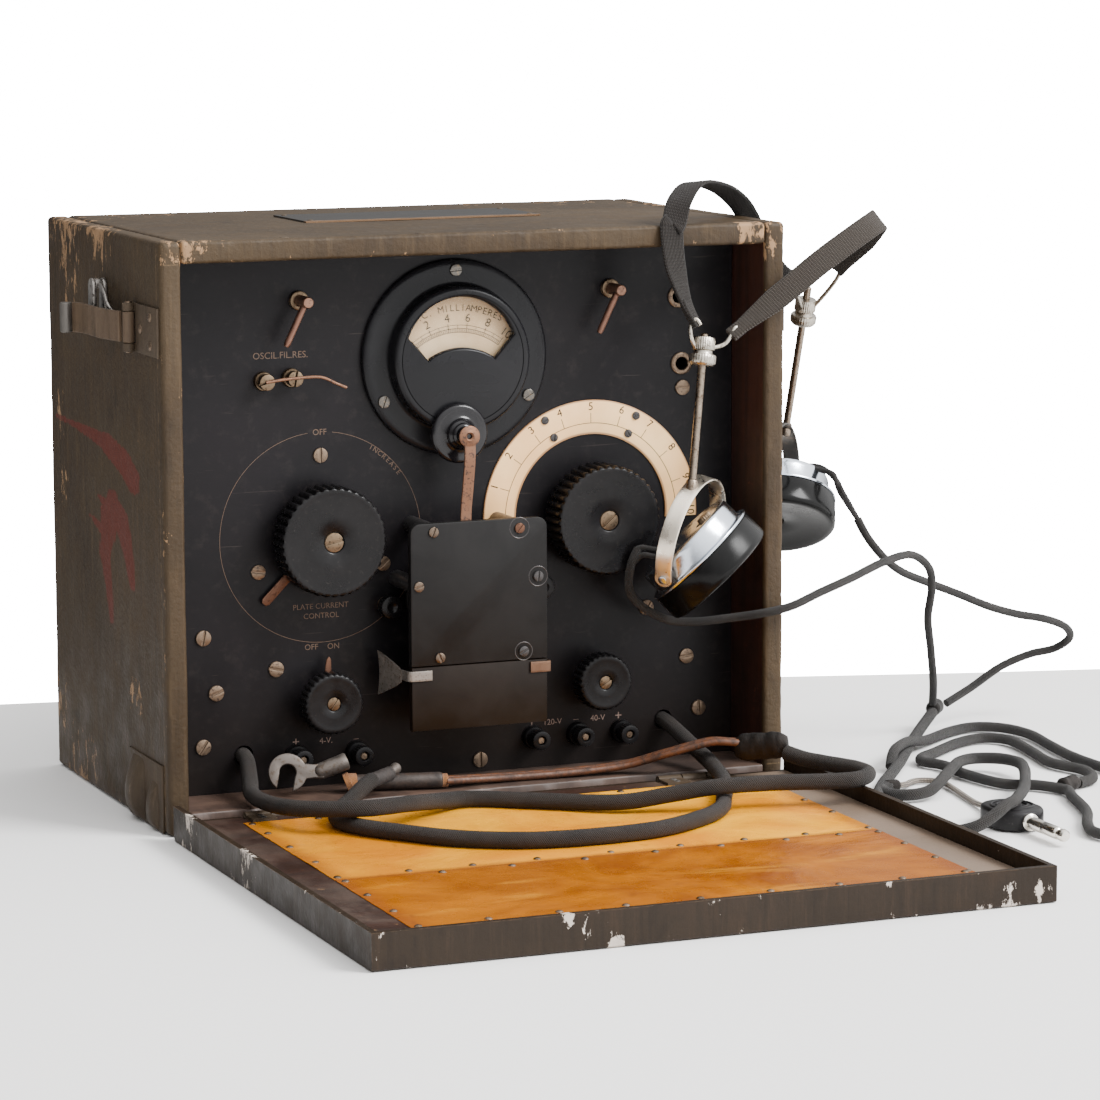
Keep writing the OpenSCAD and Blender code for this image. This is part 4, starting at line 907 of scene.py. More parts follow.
lug2 = Build()
sleeve2 = [Vector((0, 0, z)) for z in np.linspace(-1, 18, 26)]
lug2.add(hose(sleeve2, lambda i, a, r: 3.65 + 0.18 * noise.noise(Vector((a + 4, i * 0.25,
                                                                         0))) - (0.5 if i == 25 else 0),
              24), placed(-62, -7, 21.5, (90, 0, 132.7)), 0)
lug2.add(turned([(0, -1), (2.4, -0.6), (2.5, 5), (2.9, 6), (2.9, 8.0), (2.2, 8.6), (0, 8.6)], 28),
         placed(-49.4, 4.6, 21.5, (90, 0, 132.7)) @ Matrix.Rotation(math.radians(-12), 4, "X"), 1)
ring_lug = lug2.make("ring_lug", [mat_dark_sleeve, mat_lead], "case", "lead_metal")


def cable_ribs(a, run):
    return 0.018 * math.sin(run * 2 * math.pi / 1.5)


lay_cord("left_battery_cable", LEFT_CABLE, 4.0, mat_cable, "cloth_cable", "battery_cable_left", sides=22, gap=0.8,
         ribs=cable_ribs, length=0.486, far_end="fitting", stiffness="medium", lay="loose", with_pieces=[tape_joint])
lay_cord("right_battery_cable", RIGHT_CABLE, 4.0, mat_cable, "cloth_cable", "battery_cable_right", sides=22, gap=0.8,
         ribs=cable_ribs, length=0.446, far_end="connector", stiffness="medium", lay="loose", with_pieces=[ring_lug])
wire_back = WIRE[::-1]
lay_cord("rubber_wire_a", wire_back, 1.9, mat_rubber, "orange_rubber", "rubber_wires", length=0.161,
                  far_end="connector", stiffness="medium", lay="loose", with_pieces=[fork_sleeve])
lay_cord("rubber_wire_b", [(x, y - 4.2, z) for x, y, z in wire_back], 1.9, mat_rubber, "orange_rubber", (),
                  length=0.161, far_end="connector", stiffness="medium", lay="loose", with_pieces=[fork_sleeve])


# ---------------------------------------------------------------- phone plug and headset cords
mat_plug = plastic("plug_moulding", srgb(26, 25, 26), 0.38, 0.5, 0.2, 60)
PLUG = (224.5, -137, 5.4)


plug = Build()
body_rings = [(0.90, -5.0), (0.97, -4.5), (1.0, -3.4), (1.0, 2.6), (0.985, 3.8), (0.94, 4.6), (0.88, 4.9)]
pill = [(13.4 * math.cos(a), (4.5 if math.sin(a) > 0 else -4.5) + 13.4 * math.sin(a))
        for a in [2 * math.pi * (i + 0.5) / 56 for i in range(56)]]
pv = [(x * s, y * s, h) for s, h in body_rings for x, y in pill]
pf = [[k * 56 + i, k * 56 + (i + 1) % 56, (k + 1) * 56 + (i + 1) % 56, (k + 1) * 56 + i]
      for k in range(len(body_rings) - 1) for i in range(56)]
pf += [list(range(56))[::-1], [(len(body_rings) - 1) * 56 + i for i in range(56)]]
plug.add((pv, pf), placed(*PLUG), 0)
for r in (10.4, 7.6, 4.4):
    plug.add(turned([(r - 0.8, 4.7), (r - 0.6, 5.4), (r, 5.7), (r + 0.6, 5.4), (r + 0.8, 4.7)], 48), placed(*PLUG), 0)
plug.add(turned([(0, 5.7), (1.3, 5.5), (1.6, 4.7)], 24), placed(*PLUG), 1)
tip = [(0, 17.5), (4.2, 17.8), (4.3, 19.6), (3.9, 20), (3.16, 20.2), (3.16, 33), (3.05, 33.3), (3.05, 33.8),
       (3.16, 34.1),
       (3.16, 46.4), (2.9, 47), (2.1, 47.4), (2.1, 49), (2.9, 49.6), (3.15, 51.2), (2.95, 53), (2.2, 54.3), (1, 54.65),
       (0, 54.65)]
plug_barrel = Build().add(turned(tip, 36), placed(*PLUG, (90, 0, 0)))
plug_barrel = plug_barrel.make("phone_plug_barrel", mat_nickel, "case", "nickel", (), 40)
plug.add(turned([(0, 16.5), (3.3, 16.8), (3.3, 18.6), (2.9, 19.8), (2.2, 20.4), (0, 20.6)], 28),
         placed(*PLUG, (-90, 0, 0)), 0)
phone_plug = plug.make("phone_plug_body", [mat_plug, mat_nickel], "case", "black_gloss", "phone_plug", 40)

lay_cord("earphone_cord_1", BRANCH_1, 2.2, mat_cord, "cord_cloth", "branch_cord_1", gap=1.2,
                    length=0.342, far_end="fitting", stiffness="limp", lay="hanging", with_pieces=[y_joint])
lay_cord("earphone_cord_2", BRANCH_2, 2.2, mat_cord, "cord_cloth", "branch_cord_2", gap=1.2,
                    length=0.271, far_end="object", stiffness="limp", lay="hanging")
lay_cord("headset_lead", TRUNK, 3.0, mat_cord, "cord_cloth", "trunk_cord", gap=1.2,
                 length=0.615, far_end="fitting", stiffness="limp", lay="loose", with_pieces=[tail_joint])
lay_cord("plug_lead", TAIL, 1.5, mat_tail, "cord_cloth", (), gap=0.8,
                length=0.125, far_end="plug", stiffness="limp", lay="loose", with_pieces=[phone_plug])
lay_cord("spare_lead", LOOP, 2.75, mat_cord, "cord_cloth", "loop_cord", gap=1.2,
                length=0.911, far_end="object", stiffness="limp", lay="loose", with_pieces=[loop_joint])


# ---------------------------------------------------------------- wooden case
def inner_wood(name, base, dark, gloss=0.45):
    k = Look(name)
    grain = k.noise(45, 7, 0.65, 0.8, k.coords((1, 1, 0.12)))
    broad = k.noise(12, 4, 0.6)
    tone = k.mix(k.step(grain, 0.35, 0.65), base, dark)
    tone = k.mix(k.step(broad, 0.45, 0.7, 0, 0.7), tone, [v * 0.4 for v in dark])
    tone = k.mix(k.step(k.noise(140, 6, 0.75), 0.64, 0.7, 0, 0.8), tone, [v * 2.2 for v in base])
    k.set(base_color=tone, roughness=k.step(broad, 0.3, 0.7, gloss - 0.08, gloss + 0.15))
    k.bump((grain, 0.35, 0.0008), (k.noise(500, 3), 0.2, 0.0003))
    return k.mat


mat_inner = inner_wood("inner_wood", srgb(62, 34, 24), srgb(36, 20, 15))
mat_floor_wood = inner_wood("floor_wood", srgb(78, 60, 50), srgb(54, 40, 33), 0.5)
mat_shelf = inner_wood("shelf_wood", srgb(120, 84, 54), srgb(92, 62, 40), 0.6)


def uneven_board(name, lo, hi, r, looks, replaces, step=3.2, amp=0.22, chip=0.5, pick=None):
    """A board with rounded, slightly chipped arrises, as a fine closed grid."""
    lo, hi = Vector(lo), Vector(hi)
    build = Build()
    index = {}
    grid = []
    for i in range(3):
        inner = np.linspace(lo[i] + r, hi[i] - r, max(2, int((hi[i] - lo[i] - 2 * r) / step) + 1))
        edge = [0, 0.2, 0.5, 0.8]
        grid.append(np.concatenate([[lo[i] + r * e for e in edge], inner, [hi[i] - r * e for e in edge[::-1]]]))

    def point(a, b, c):
        p = Vector((grid[0][a], grid[1][b], grid[2][c]))
        q = Vector([min(max(p[i], lo[i] + r), hi[i] - r) for i in range(3)])
        d = p - q
        on_edge = sum(1 for v in d if abs(v) > 1e-6)
        if on_edge:
            m = max(abs(v) for v in d)
            p = q + d.normalized() * m if on_edge > 1 else p
            n = d.normalized()
        else:
            n = Vector((0, 0, 0))
        w = noise.noise(p * 0.03) * amp
        if on_edge > 1:
            w -= chip * max(0.0, noise.noise(p * 0.35 + Vector((7, 3, 1))) - 0.05)
        return p + n * (w - amp * 0.6)

    def vert(a, b, c):
        if (a, b, c) not in index:
            index[(a, b, c)] = len(verts)
            verts.append(tuple(point(a, b, c)))
        return index[(a, b, c)]

    verts, faces, mats = [], [], []
    na, nb, nc = (len(g) - 1 for g in grid)
    for (u, v, w, nu, nv, nw) in ((0, 1, 2, na, nb, nc), (1, 2, 0, nb, nc, na), (2, 0, 1, nc, na, nb)):
        for end in (0, nw):
            for i in range(nu):
                for j in range(nv):
                    quad = []
                    for di, dj in ((0, 0), (1, 0), (1, 1), (0, 1)):
                        ijk = [0, 0, 0]
                        ijk[u], ijk[v], ijk[w] = i + di, j + dj, end
                        quad.append(vert(*ijk))
                    faces.append(quad if end else quad[::-1])
    for k, f in enumerate(faces):
        c = sum((Vector(verts[i]) for i in f), Vector()) / 4
        mats.append(pick(c) if pick else 0)
    build.verts = [tuple(FLAT @ Vector(v)) for v in verts]
    build.faces, build.mats = faces, mats
    build.uvs = [[(0, 0)] * 4] * len(faces)
    return build.make(name, looks, "case", "painted_case", replaces, 50)


IN = HALF - BOARD
for sign, nm in ((-1, "left"), (1, "right")):
    a, b = sorted((sign * HALF, sign * IN))
    uneven_board(f"side_{nm}", (a, 0, 0), (b, CASE_D, CASE_H - 0.1), 2.6, [mat_case, mat_inner], f"side_board_{nm}",
                 pick=lambda c, s=sign: 1 if (abs(c.x) < IN + 0.4 and 2.4 < c.y < CASE_D - 4) else 0)
uneven_board("top", (-IN - 0.2, 0, CASE_H - BOARD), (IN + 0.2, CASE_D, CASE_H), 2.0, [mat_case, mat_inner], "top_board",
             pick=lambda c: 1 if c.z < CASE_H - BOARD + 0.4 and c.y > 2.2 else 0)
uneven_board("bottom", (-IN, 0.2, 0), (IN, CASE_D, BOARD), 1.0, [mat_floor_wood], "bottom_board", amp=0.1)
uneven_board("back", (-IN, CASE_D - BOARD, BOARD), (IN, CASE_D, CASE_H - BOARD), 1.0, [mat_case], "back_board",
             amp=0.15)

k = Look("plate_enamel")
px, py, pz = k.xyz()
plate_lo, plate_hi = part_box("top_plate")
front_wear = k.calc("ADD", k.near(py, plate_lo.y, 0.010), k.calc("MULTIPLY", k.noise(90, 5, 0.7), 1.2))
n = k.noise(60, 6, 0.6)
tone = k.mix(n, srgb(22, 19, 17), srgb(38, 33, 29))
tone = k.mix(k.step(front_wear, 0.75, 1.1, 1, 0), tone, srgb(104, 78, 54))
k.set(base_color=tone, metallic=0.35, roughness=k.step(n, 0.3, 0.7, 0.3, 0.5))
k.bump((n, 0.3, 0.0005), (k.noise(700, 3), 0.15, 0.0002))
mat_plate = k.mat
dress("top_plate", mat_plate, 0.25)
nails = Build()
for x in (plate_lo.x / MM + 4, plate_hi.x / MM - 4):
    for y in (98, 140):
        nails.add(turned([(0, 0.55), (1.0, 0.45), (1.6, 0.1), (1.7, -0.3), (0, -0.3)], 20), placed(x, y, CASE_H + 0.8))
for x in (-148, -100, -30, 40, 110, 148):
    for y in (6, 193):
        nails.add(turned([(0, 0.25), (1.5, 0.2), (2.4, 0.05), (2.5, -0.4), (0, -0.4)], 20), placed(x, y, CASE_H - 0.05))
nails.make("case_nails", mat_fitting, "case", "painted_steel")
for node in ("panel_rails", "tube_shelf"):
    dress(node, mat_shelf, 0.5)


# ---------------------------------------------------------------- panel
def panel_look():
    k = Look("panel_black")
    x, y, z = k.xyz()
    n = k.noise(14, 5, 0.6, 0.4)
    fine = k.noise(160, 5, 0.65)
    tone = k.mix(k.step(n, 0.3, 0.7), srgb(14, 13, 15), srgb(22, 20, 22))
    tone = k.mix(k.step(fine, 0.5, 0.75, 0, 0.35), tone, srgb(40, 36, 35))
    low = k.step(z, 0.011, 0.075, 0.7, 0.0)
    tone = k.mix(k.calc("MULTIPLY", low, k.step(n, 0.3, 0.6, 0.4, 1.0)), tone, srgb(23, 17, 13))
    scratch = k.noise(120, 3, 0.7, 0.1, k.coords((0.15, 1, 5), (0, 35, 0)))
    tone = k.mix(k.step(scratch, 0.69, 0.72, 0, 0.4), tone, srgb(60, 54, 50))
    k.set(base_color=tone, roughness=k.step(n, 0.3, 0.7, 0.3, 0.42), specular_ior_level=0.12)
    k.bump((fine, 0.06, 0.0004), (scratch, 0.05, 0.0002))
    return k.mat


mat_panel = panel_look()
dress("panel", mat_panel, 0)

mat_mark = simple_metal("faded_filling", srgb(84, 64, 49), 0.7, 0.4, 0.0, srgb(36, 30, 27), 500)
mat_mark_pink = simple_metal("pale_filling", srgb(110, 90, 80), 0.7, 0.3, 0.0, srgb(52, 44, 40), 500)


def lettering(build, text, x, z, size, y=None, turn=0.0, mat=0, lift=0.12, spacing=1.0):
    """Small raised figures lying on a face seen from the front."""
    cu = bpy.data.curves.new("tmp", "FONT")
    cu.body = text
    cu.size = size * 1.42
    cu.align_x, cu.align_y = "CENTER", "CENTER"
    cu.space_character = spacing
    cu.resolution_u = 3
    ob = bpy.data.objects.new("tmp", cu)
    bpy.context.scene.collection.objects.link(ob)
    cu.extrude = lift / 2
    bpy.context.view_layer.update()
    me = bpy.data.meshes.new_from_object(ob.evaluated_get(bpy.context.evaluated_depsgraph_get()))
    shape = [tuple(v.co) for v in me.vertices], [list(p.vertices) for p in me.polygons]
    bpy.data.objects.remove(ob)
    bpy.data.curves.remove(cu)
    bpy.data.meshes.remove(me)
    build.add(shape, facing(x, z, PANEL_Y if y is None else y, turn), mat)


def arc_line(build, cx, cz, r, a0, a1, width, y, mat=0, lift=0.1, n=None):
    """A thin flat arc, drawn as seen from the front."""
    n = n or max(6, int(abs(a1 - a0) / 3))
    verts, faces = [], []
    for i in range(n + 1):
        a = math.radians(a0 + (a1 - a0) * i / n)
        for rr in (r - width / 2, r + width / 2):
            for h in (0, lift):
                verts.append((rr * math.cos(a), rr * math.sin(a), h))
    for i in range(n):
        b, c = 4 * i, 4 * i + 4
        faces += [[b + 1, b + 3, c + 3, c + 1], [b, c, c + 2, b + 2], [b, b + 1, c + 1, c],
                  [b + 2, c + 2, c + 3, b + 3]]
    faces += [[0, 2, 3, 1], [4 * n, 4 * n + 1, 4 * n + 3, 4 * n + 2]]
    build.add((verts, faces), facing(cx, cz, y), mat)


def line_mark(build, x0, z0, x1, z1, width, y, mat=0, lift=0.1):
    a, b = Vector((x0, z0)), Vector((x1, z1))
    d = (b - a).normalized() * 0.5 * width
    s = Vector((-d.y, d.x))
    pts = [a + s, a - s, b - s, b + s]
    verts = [(p.x, p.y, h) for h in (0, lift) for p in pts]
    build.add((verts, [[0, 1, 2, 3], [7, 6, 5, 4], [0, 4, 5, 1], [1, 5, 6, 2], [2, 6, 7, 3], [3, 7, 4, 0]]),
              facing(0, 0, y), mat)


dial_x, dial_z = joint_xz("tuning_dial_turn")
rheo_x, rheo_z = joint_xz("rheostat_turn")
switch_x, switch_z = joint_xz("filament_switch_turn")
fine_x, fine_z = joint_xz("fine_control_turn")
needle_x, needle_z = joint_xz("needle_pivot")
meter_lo, meter_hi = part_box("meter_case")
METER_Z = (meter_lo.z + meter_hi.z) / 2 / MM

marks = Build()
arc_line(marks, rheo_x, rheo_z, 53, 97, 443, 0.24, PANEL_Y, 0)
lettering(marks, "OFF", -71.5, 189.8, 3.0)
for i, ch in enumerate("INCREASE"):
    a = 58.5 - i * 3.15
    lettering(marks, ch, rheo_x + 51.5 * math.cos(math.radians(a)), rheo_z + 51.5 * math.sin(math.radians(a)), 2.5,
              None,
              a - 90)
for text, x, z, s in (("PLATE CURRENT", -72, 102.2, 2.75), ("CONTROL", -71.8, 97.4, 2.75), ("OFF", -77.2, 81.7, 2.9),
                      ("ON", -65.5, 81.5, 2.9), ("OSCIL.FIL.RES.", -91.5, 229, 3.3)):
    lettering(marks, text, x, z, s)
for text, x, z, s in (("+", -86, 33.8, 5), ("4-V.", -70, 33.6, 3), ("+", 41.5, 34.4, 5), ("120-V", 53, 33.8, 3),
                      ("_", 66.1, 36.4, 4), ("40-V", 78.2, 34.0, 3), ("+", 89.8, 34.2, 5), ("_", -54, 35.5, 4)):
    lettering(marks, text, x, z, s, None, 0, 1)
marks.make("panel_markings", [mat_mark, mat_mark_pink], "case", "brass_dark", sharp=30)


# ---------------------------------------------------------------- slotted screws
def d_half(r, gap, up=1):
    a = math.degrees(math.asin(gap / 2 / r))
    return [(x, y * up) for x, y in circle_pts(r, 18, 0, 0, a, 180 - a)]


def screw(build, x, z, y, r, turn, mat=0, height=1.2, slot=0.9):
    """A slotted round-head screw whose head stands height in front of depth y."""
    build.add(turned([(0, -0.2), (r, -0.2), (r, height * 0.35), (r * 0.985, height * 0.42), (0, height * 0.42)], 36),
              facing(x, z, y, turn), mat)
    for up in (1, -1):
        build.add(prism(d_half(r * 0.99, slot, up), height * 0.38, height, min(0.35, height * 0.3)),
                  facing(x, z, y, turn), mat)


screws = Build()
SCREWS = [(-133.8, 90.1), (-127.5, 62), (-134.7, 35.2), (128, 63.1), (134.9, 35.4), (105.4, 90.1), (125.7, 203.3),
          (-96, 71.9), (12.9, 17.4)]
TURNS = [78, 22, 55, 8, 95, 60, -8, -14, 88]
for (x, z), t in zip(SCREWS, TURNS):
    screw(screws, x, z, PANEL_Y, 4, t, 1, 1.3, 1.0)
for (x, z), t in zip([(-71.4, 178.3), (-104.7, 121.4), (-38.7, 121.9)], (90, -8, 40)):
    screw(screws, x, z, PANEL_Y, 3.8, t, 1, 1.3, 0.95)
for a, t in zip((90, 208, 332), (4, 70, 30)):
    screw(screws, 44 * math.cos(math.radians(a)), METER_Z + 44 * math.sin(math.radians(a)), PANEL_Y - 4, 3.1, t, 2, 1.2,
          0.85)
for (x, z), t in zip([(-25.3, 49.7), (-20.4, 40.7), (25, 49.8), (20.6, 40.8)], (30, 80, 10, 120)):
    screw(screws, dial_x + x, dial_z + z, PANEL_Y - 1.2, 2.1, t, 3, 0.9, 0.6)
card_front = (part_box("coil_card")[0].y - FRONT) / MM
for (x, z), t, m in zip([(-23.5, 141), (-31.5, 114), (-20.5, 77.5), (22.5, 140.5), (32.5, 115.5), (24.5, 77.8)],
                        (66, 20, -70, 50, 82, 30), (0, 0, 0, 4, 3, 3)):
    screw(screws, x, z, card_front, 2.65, t, m, 1.0, 0.7)
mat_old_brass = simple_metal("tarnished_brass", (0.16, 0.115, 0.08), 0.45, 0.35, 0.9, (0.05, 0.035, 0.03), 300)
mat_black_screw = simple_metal("blackened_screw", (0.045, 0.042, 0.042), 0.35, 0.3, 0.6, None, 300)
mat_meter_screw = simple_metal("grey_screw", (0.10, 0.092, 0.082), 0.32, 0.3, 0.9, (0.2, 0.15, 0.1), 300)
mat_bright_brass = simple_metal("bright_brass", (0.12, 0.09, 0.068), 0.38, 0.35, 1.0, (0.04, 0.03, 0.025), 420)
screws.make("slotted_screws", [mat_bright_brass, mat_old_brass, mat_meter_screw, mat_black_screw, mat_copper], "case",
            "brass_dark", "panel_screws", 30)


# ---------------------------------------------------------------- meter
def fan(grow=0.0):
    g = grow
    top = circle_pts(30.8 + g, 36, -0.5, 226 - METER_Z, 20.1, 159.9)
    low = circle_pts(31.3 - g, 22, -0.5, 197.8 - METER_Z, 125, 55)
    return top + [(-29.4 - g * 0.9, 235.9 - METER_Z), (-18.4 - g * 0.6, 223.4 - METER_Z - g * 0.5)] + low[1:-1] + \
        [(17.4 + g * 0.6, 223.4 - METER_Z - g * 0.5), (28.4 + g * 0.9, 235.9 - METER_Z)]


meter = Build()
MF = facing(0, METER_Z, PANEL_Y)
meter.add(turned([(33, 0), (48.6, 0), (49.5, 0.5), (49.5, 2.2), (49.0, 3.0), (47.9, 3.6), (46.6, 3.95), (45.2, 4.0),
                  (38.4, 4.0), (37.4, 4.3), (36.8, 5.0), (36.5, 6.0), (36.5, 11.4), (36.2, 12.5), (35.5, 13.4),
                  (34.5, 13.9), (33.4, 14.0), (32.2, 14.0)], 128), MF)
meter.add(plate([circle_pts(32.6, 128), fan(0)], 12.2, 14.0, 0.02), MF)
rim_out = fan(0)
n = len(rim_out)
rings = [(fan(0), 14.0), (fan(-0.35), 13.85), (fan(-0.8), 13.4), (fan(-1.1), 12.6), (fan(-1.2), 11.2)]
rv = [(x, y, h) for ring, h in rings for x, y in ring]
rf = [[k * n + i, k * n + (i + 1) % n, (k + 1) * n + (i + 1) % n, (k + 1) * n + i] for k in range(4) for i in range(n)]
meter.add((rv, rf), MF)
meter.add(turned([(31.5, 12), (31.5, -44), (33, -44), (33, 0)], 96), MF)
meter.add(turned([(0, -46.5), (32, -46.5), (33, -45.5), (33, -44)], 96), MF)
mat_meter = plastic("meter_moulding", srgb(17, 17, 19), 0.27, 0.35, 0.0, 30)
meter.make("meter_shell", mat_meter, "case", "black_gloss", "meter_case", 40)

k = Look("aged_card")
n1 = k.noise(30, 5, 0.6)
x, y, z = k.xyz()
r2 = k.calc("SQRT", k.calc("ADD", k.calc("POWER", k.calc("SUBTRACT", x, 0.0), 2.0),
                           k.calc("POWER", k.calc("SUBTRACT", z, METER_Z * MM), 2.0)))
tone = k.mix(k.step(n1, 0.3, 0.75), srgb(202, 176, 140), srgb(176, 148, 110))
tone = k.mix(k.step(r2, 0.018, 0.034, 0, 0.75), tone, srgb(150, 122, 88))
k.set(base_color=tone, roughness=0.7)
k.bump((k.noise(1200, 3), 0.1, 0.0002))
mat_meter_card = k.mat
card_y = (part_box("meter_card")[0].y - FRONT) / MM
mcard = Build()
mcard.add(turned([(0, 0.6), (31.2, 0.6), (31.3, 0.5), (31.3, 0), (0, 0)], 96), facing(0, METER_Z, card_y + 0.6))
mcard.make("meter_dial_card", mat_meter_card, "case", "cream_card", "meter_card")

mat_ink = plastic("printing_ink", srgb(14, 12, 11), 0.6, 0.3)
ink = Build()
A0, A1 = 127.0, 53.0
for r, w in ((36.0, 0.22), (37.9, 0.22), (39.6, 0.22)):
    arc_line(ink, needle_x, needle_z, r, A0, A1, w, card_y, 0, 0.08, 48)
for i in range(51):
    a = math.radians(A0 + (A1 - A0) * i / 50)
    big, mid = i % 10 == 0, i % 5 == 0
    r0, r1 = 36.0, (40.6 if big else 39.6 if mid else 37.9)
    c, s = math.cos(a), math.sin(a)
    line_mark(ink, needle_x + r0 * c, needle_z + r0 * s, needle_x + r1 * c, needle_z + r1 * s, 0.32 if big else 0.2,
              card_y)
for i, label in enumerate(("", "2", "4", "6", "8", "10")):
    if label:
        a = A0 + (A1 - A0) * i / 5
        lettering(ink, label, needle_x + 43.2 * math.cos(math.radians(a)), needle_z + 43.2 * math.sin(math.radians(a)),
                  4.3, card_y, a - 90, 0, 0.08)
title = "D.C. MILLIAMPERES"
for i, ch in enumerate(title):
    a = 90 + (len(title) - 1) / 2 * 3.55 - i * 3.55
    lettering(ink, ch, needle_x + 48.2 * math.cos(math.radians(a)), needle_z + 48.2 * math.sin(math.radians(a)), 3.4,
              card_y, a - 90, 0, 0.08)
ink.make("meter_scale_print", mat_ink, "case", "plate_steel", sharp=30)

glass = Look("thin_glass")
glass.set(base_color=(0.97, 0.98, 0.97), roughness=0.03, transmission_weight=1.0, alpha=0.12)
glass.shader.inputs["IOR"].default_value = 1.45
dress("meter_glass", glass.mat, 0)
needle = Build()
NP = facing(needle_x, needle_z, 31.1, 127 - 90)
needle.add(prism([(-0.55, -6), (0.55, -6), (0.42, 26), (0.12, 37.5), (-0.12, 37.5), (-0.42, 26)], 0, 0.4, 0.08), NP)
needle.add(turned([(0, 0.9), (1.6, 0.8), (2.4, 0.3), (2.4, -0.2), (0.98, -0.2), (0.98, -32.9), (0, -32.9)], 32), NP)
needle.make("pointer_needle", mat_ink, "needle", "plate_steel", "meter_needle", 40)
dress("meter_movement", mat_iron, 0.4)


# ---------------------------------------------------------------- tuning dial
def half_ring(r0, r1, drop, n=90):
    a1 = math.degrees(math.asin(drop / r1))
    a0 = math.degrees(math.asin(drop / r0))
    return circle_pts(r1, n, 0, 0, -a1, 180 + a1) + circle_pts(r0, n, 0, 0, 180 + a0, -a0)


k = Look("yellowed_ivory")
n1, n2 = k.noise(22, 4, 0.6), k.noise(180, 5, 0.7)
x, y, z = k.xyz()
tone = k.mix(k.step(n1, 0.3, 0.7), srgb(250, 206, 146), srgb(236, 184, 122))
tone = k.mix(k.step(n2, 0.62, 0.78, 0, 0.5), tone, srgb(170, 132, 92))
rr = k.calc("SQRT", k.calc("ADD", k.calc("POWER", k.calc("SUBTRACT", x, dial_x * MM), 2.0),
                           k.calc("POWER", k.calc("SUBTRACT", z, dial_z * MM), 2.0)))
edge = k.calc("MAXIMUM", k.step(rr, 0.0580, 0.0588), k.step(rr, 0.0422, 0.0428, 1, 0))
tone = k.mix(k.calc("MULTIPLY", edge, 0.7), tone, srgb(120, 74, 48))
k.set(base_color=tone, roughness=0.42, specular_ior_level=0.5)
k.set(subsurface_weight=0.0)
k.bump((n2, 0.08, 0.0003))
mat_ivory = k.mat
ring = Build()
ring.add(prism(half_ring(41.5, 59, 3.4), 0, 1.2, 0.25), facing(dial_x, dial_z, PANEL_Y))
ring.make("ivory_scale", mat_ivory, "case", "ivory", "dial_scale", 40)
scale = Build()
ring_y = PANEL_Y - 1.2
arc_line(scale, dial_x, dial_z, 47.2, 0, 180, 0.28, ring_y, 0, 0.07, 90)
for i in range(11):
    a = 180 - 18 * i
    c, s = math.cos(math.radians(a)), math.sin(math.radians(a))
    line_mark(scale, dial_x + 47.2 * c, dial_z + 47.2 * s, dial_x + 52.4 * c, dial_z + 52.4 * s, 0.26, ring_y, 0, 0.07)
    lettering(scale, str(i), dial_x + 55.6 * c, dial_z + 55.6 * s, 4.1, ring_y, a - 90, 0, 0.07)
scale.make("dial_scale_print", mat_ink, "case", "plate_steel", sharp=30)


# ---------------------------------------------------------------- knobs
def knob(build, x, z, r, y_front, y_back, flutes, depth, recess):
    d = y_back - y_front
    profile = [(r * 0.6, 0, 0), (r - 1.6, 0, 1), (r - 0.5, 0.3, 1), (r, 1.2, 1), (r, d - 1.9, 1),
               (r - 0.2, d - 1.2, 0.9),
               (r - 0.65, d - 0.5, 0.45), (r - 1.3, d - 0.1, 0), (r - 2.2, d, 0), (r - 3.2, d - 0.12, 0),
               (r - 4.5, d - 0.25, 0), (r * 0.5, d - 0.35, 0), (recess + 0.5, d - 0.35, 0), (recess, d - 0.7, 0),
               (recess, d - 1.9, 0), (0, d - 1.9, 0)]
    build.add(fluted(profile, flutes, depth), facing(x, z, y_back), 0)


def control(name, body, node, x, z, r, y_front, y_back, flutes, depth, recess, turn, extra=None):
    b = Build()
    knob(b, x, z, r, y_front, y_back, flutes, depth, recess)
    b.add(turned([(0, 0), (6.4, 0), (6.5, -0.3), (6.5, -1.8), (3.0, -2.0), (3.0, -30), (0, -30)], 40),
          facing(x, z, y_back), 0)
    b.add(turned([(0, 0.6), (recess * 0.8, 0.55), (recess * 0.92, 0.2), (recess * 0.92, -0.3)], 36),
          facing(x, z, y_front + 1.9), 1)
    for up in (1, -1):
        b.add(prism(d_half(recess * 0.9, 0.8, up), 0.3, 1.15, 0.2), facing(x, z, y_front + 1.9, turn), 1)
    if extra:
        extra(b)
    return b.make(name, [mat_knob, mat_brass, mat_copper], body, "black_gloss", node, 40)


def knob_band(node):
    lo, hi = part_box(node)
    return (lo.y - FRONT) / MM


control("tuning_knob", "tuning_dial", "dial_knob", dial_x, dial_z, 28, knob_band("dial_knob"), 34, 40, 1.5, 5.4, 40)


def rheo_pointer(b):
    t = facing(rheo_x, rheo_z, 38.2, 225)
    b.add(prism([(0, -2.1), (30, -2.3), (43, -2.4), (44.6, -1.2), (44.6, 1.2), (43, 2.4), (30, 2.3), (0, 2.1)], 0, 1.3,
                0.35, True), t, 2)
    b.add(turned([(0, -0.3), (7, -0.3), (7.1, 0.2), (7.1, 1.2), (6.6, 1.7), (0, 1.7)], 40), t, 0)
    w = facing(rheo_x, rheo_z, 65.4, 225)
    b.add(prism([(0, -2.5), (30, -2.5), (31.5, 0), (30, 2.5), (0, 2.5)], 0, 0.9, 0.2), w, 1)


control("rheostat_knob_body", "rheostat", "rheostat_knob", rheo_x, rheo_z, 27.7, knob_band("rheostat_knob"), 35, 40,
        1.5, 5.4, 12, rheo_pointer)


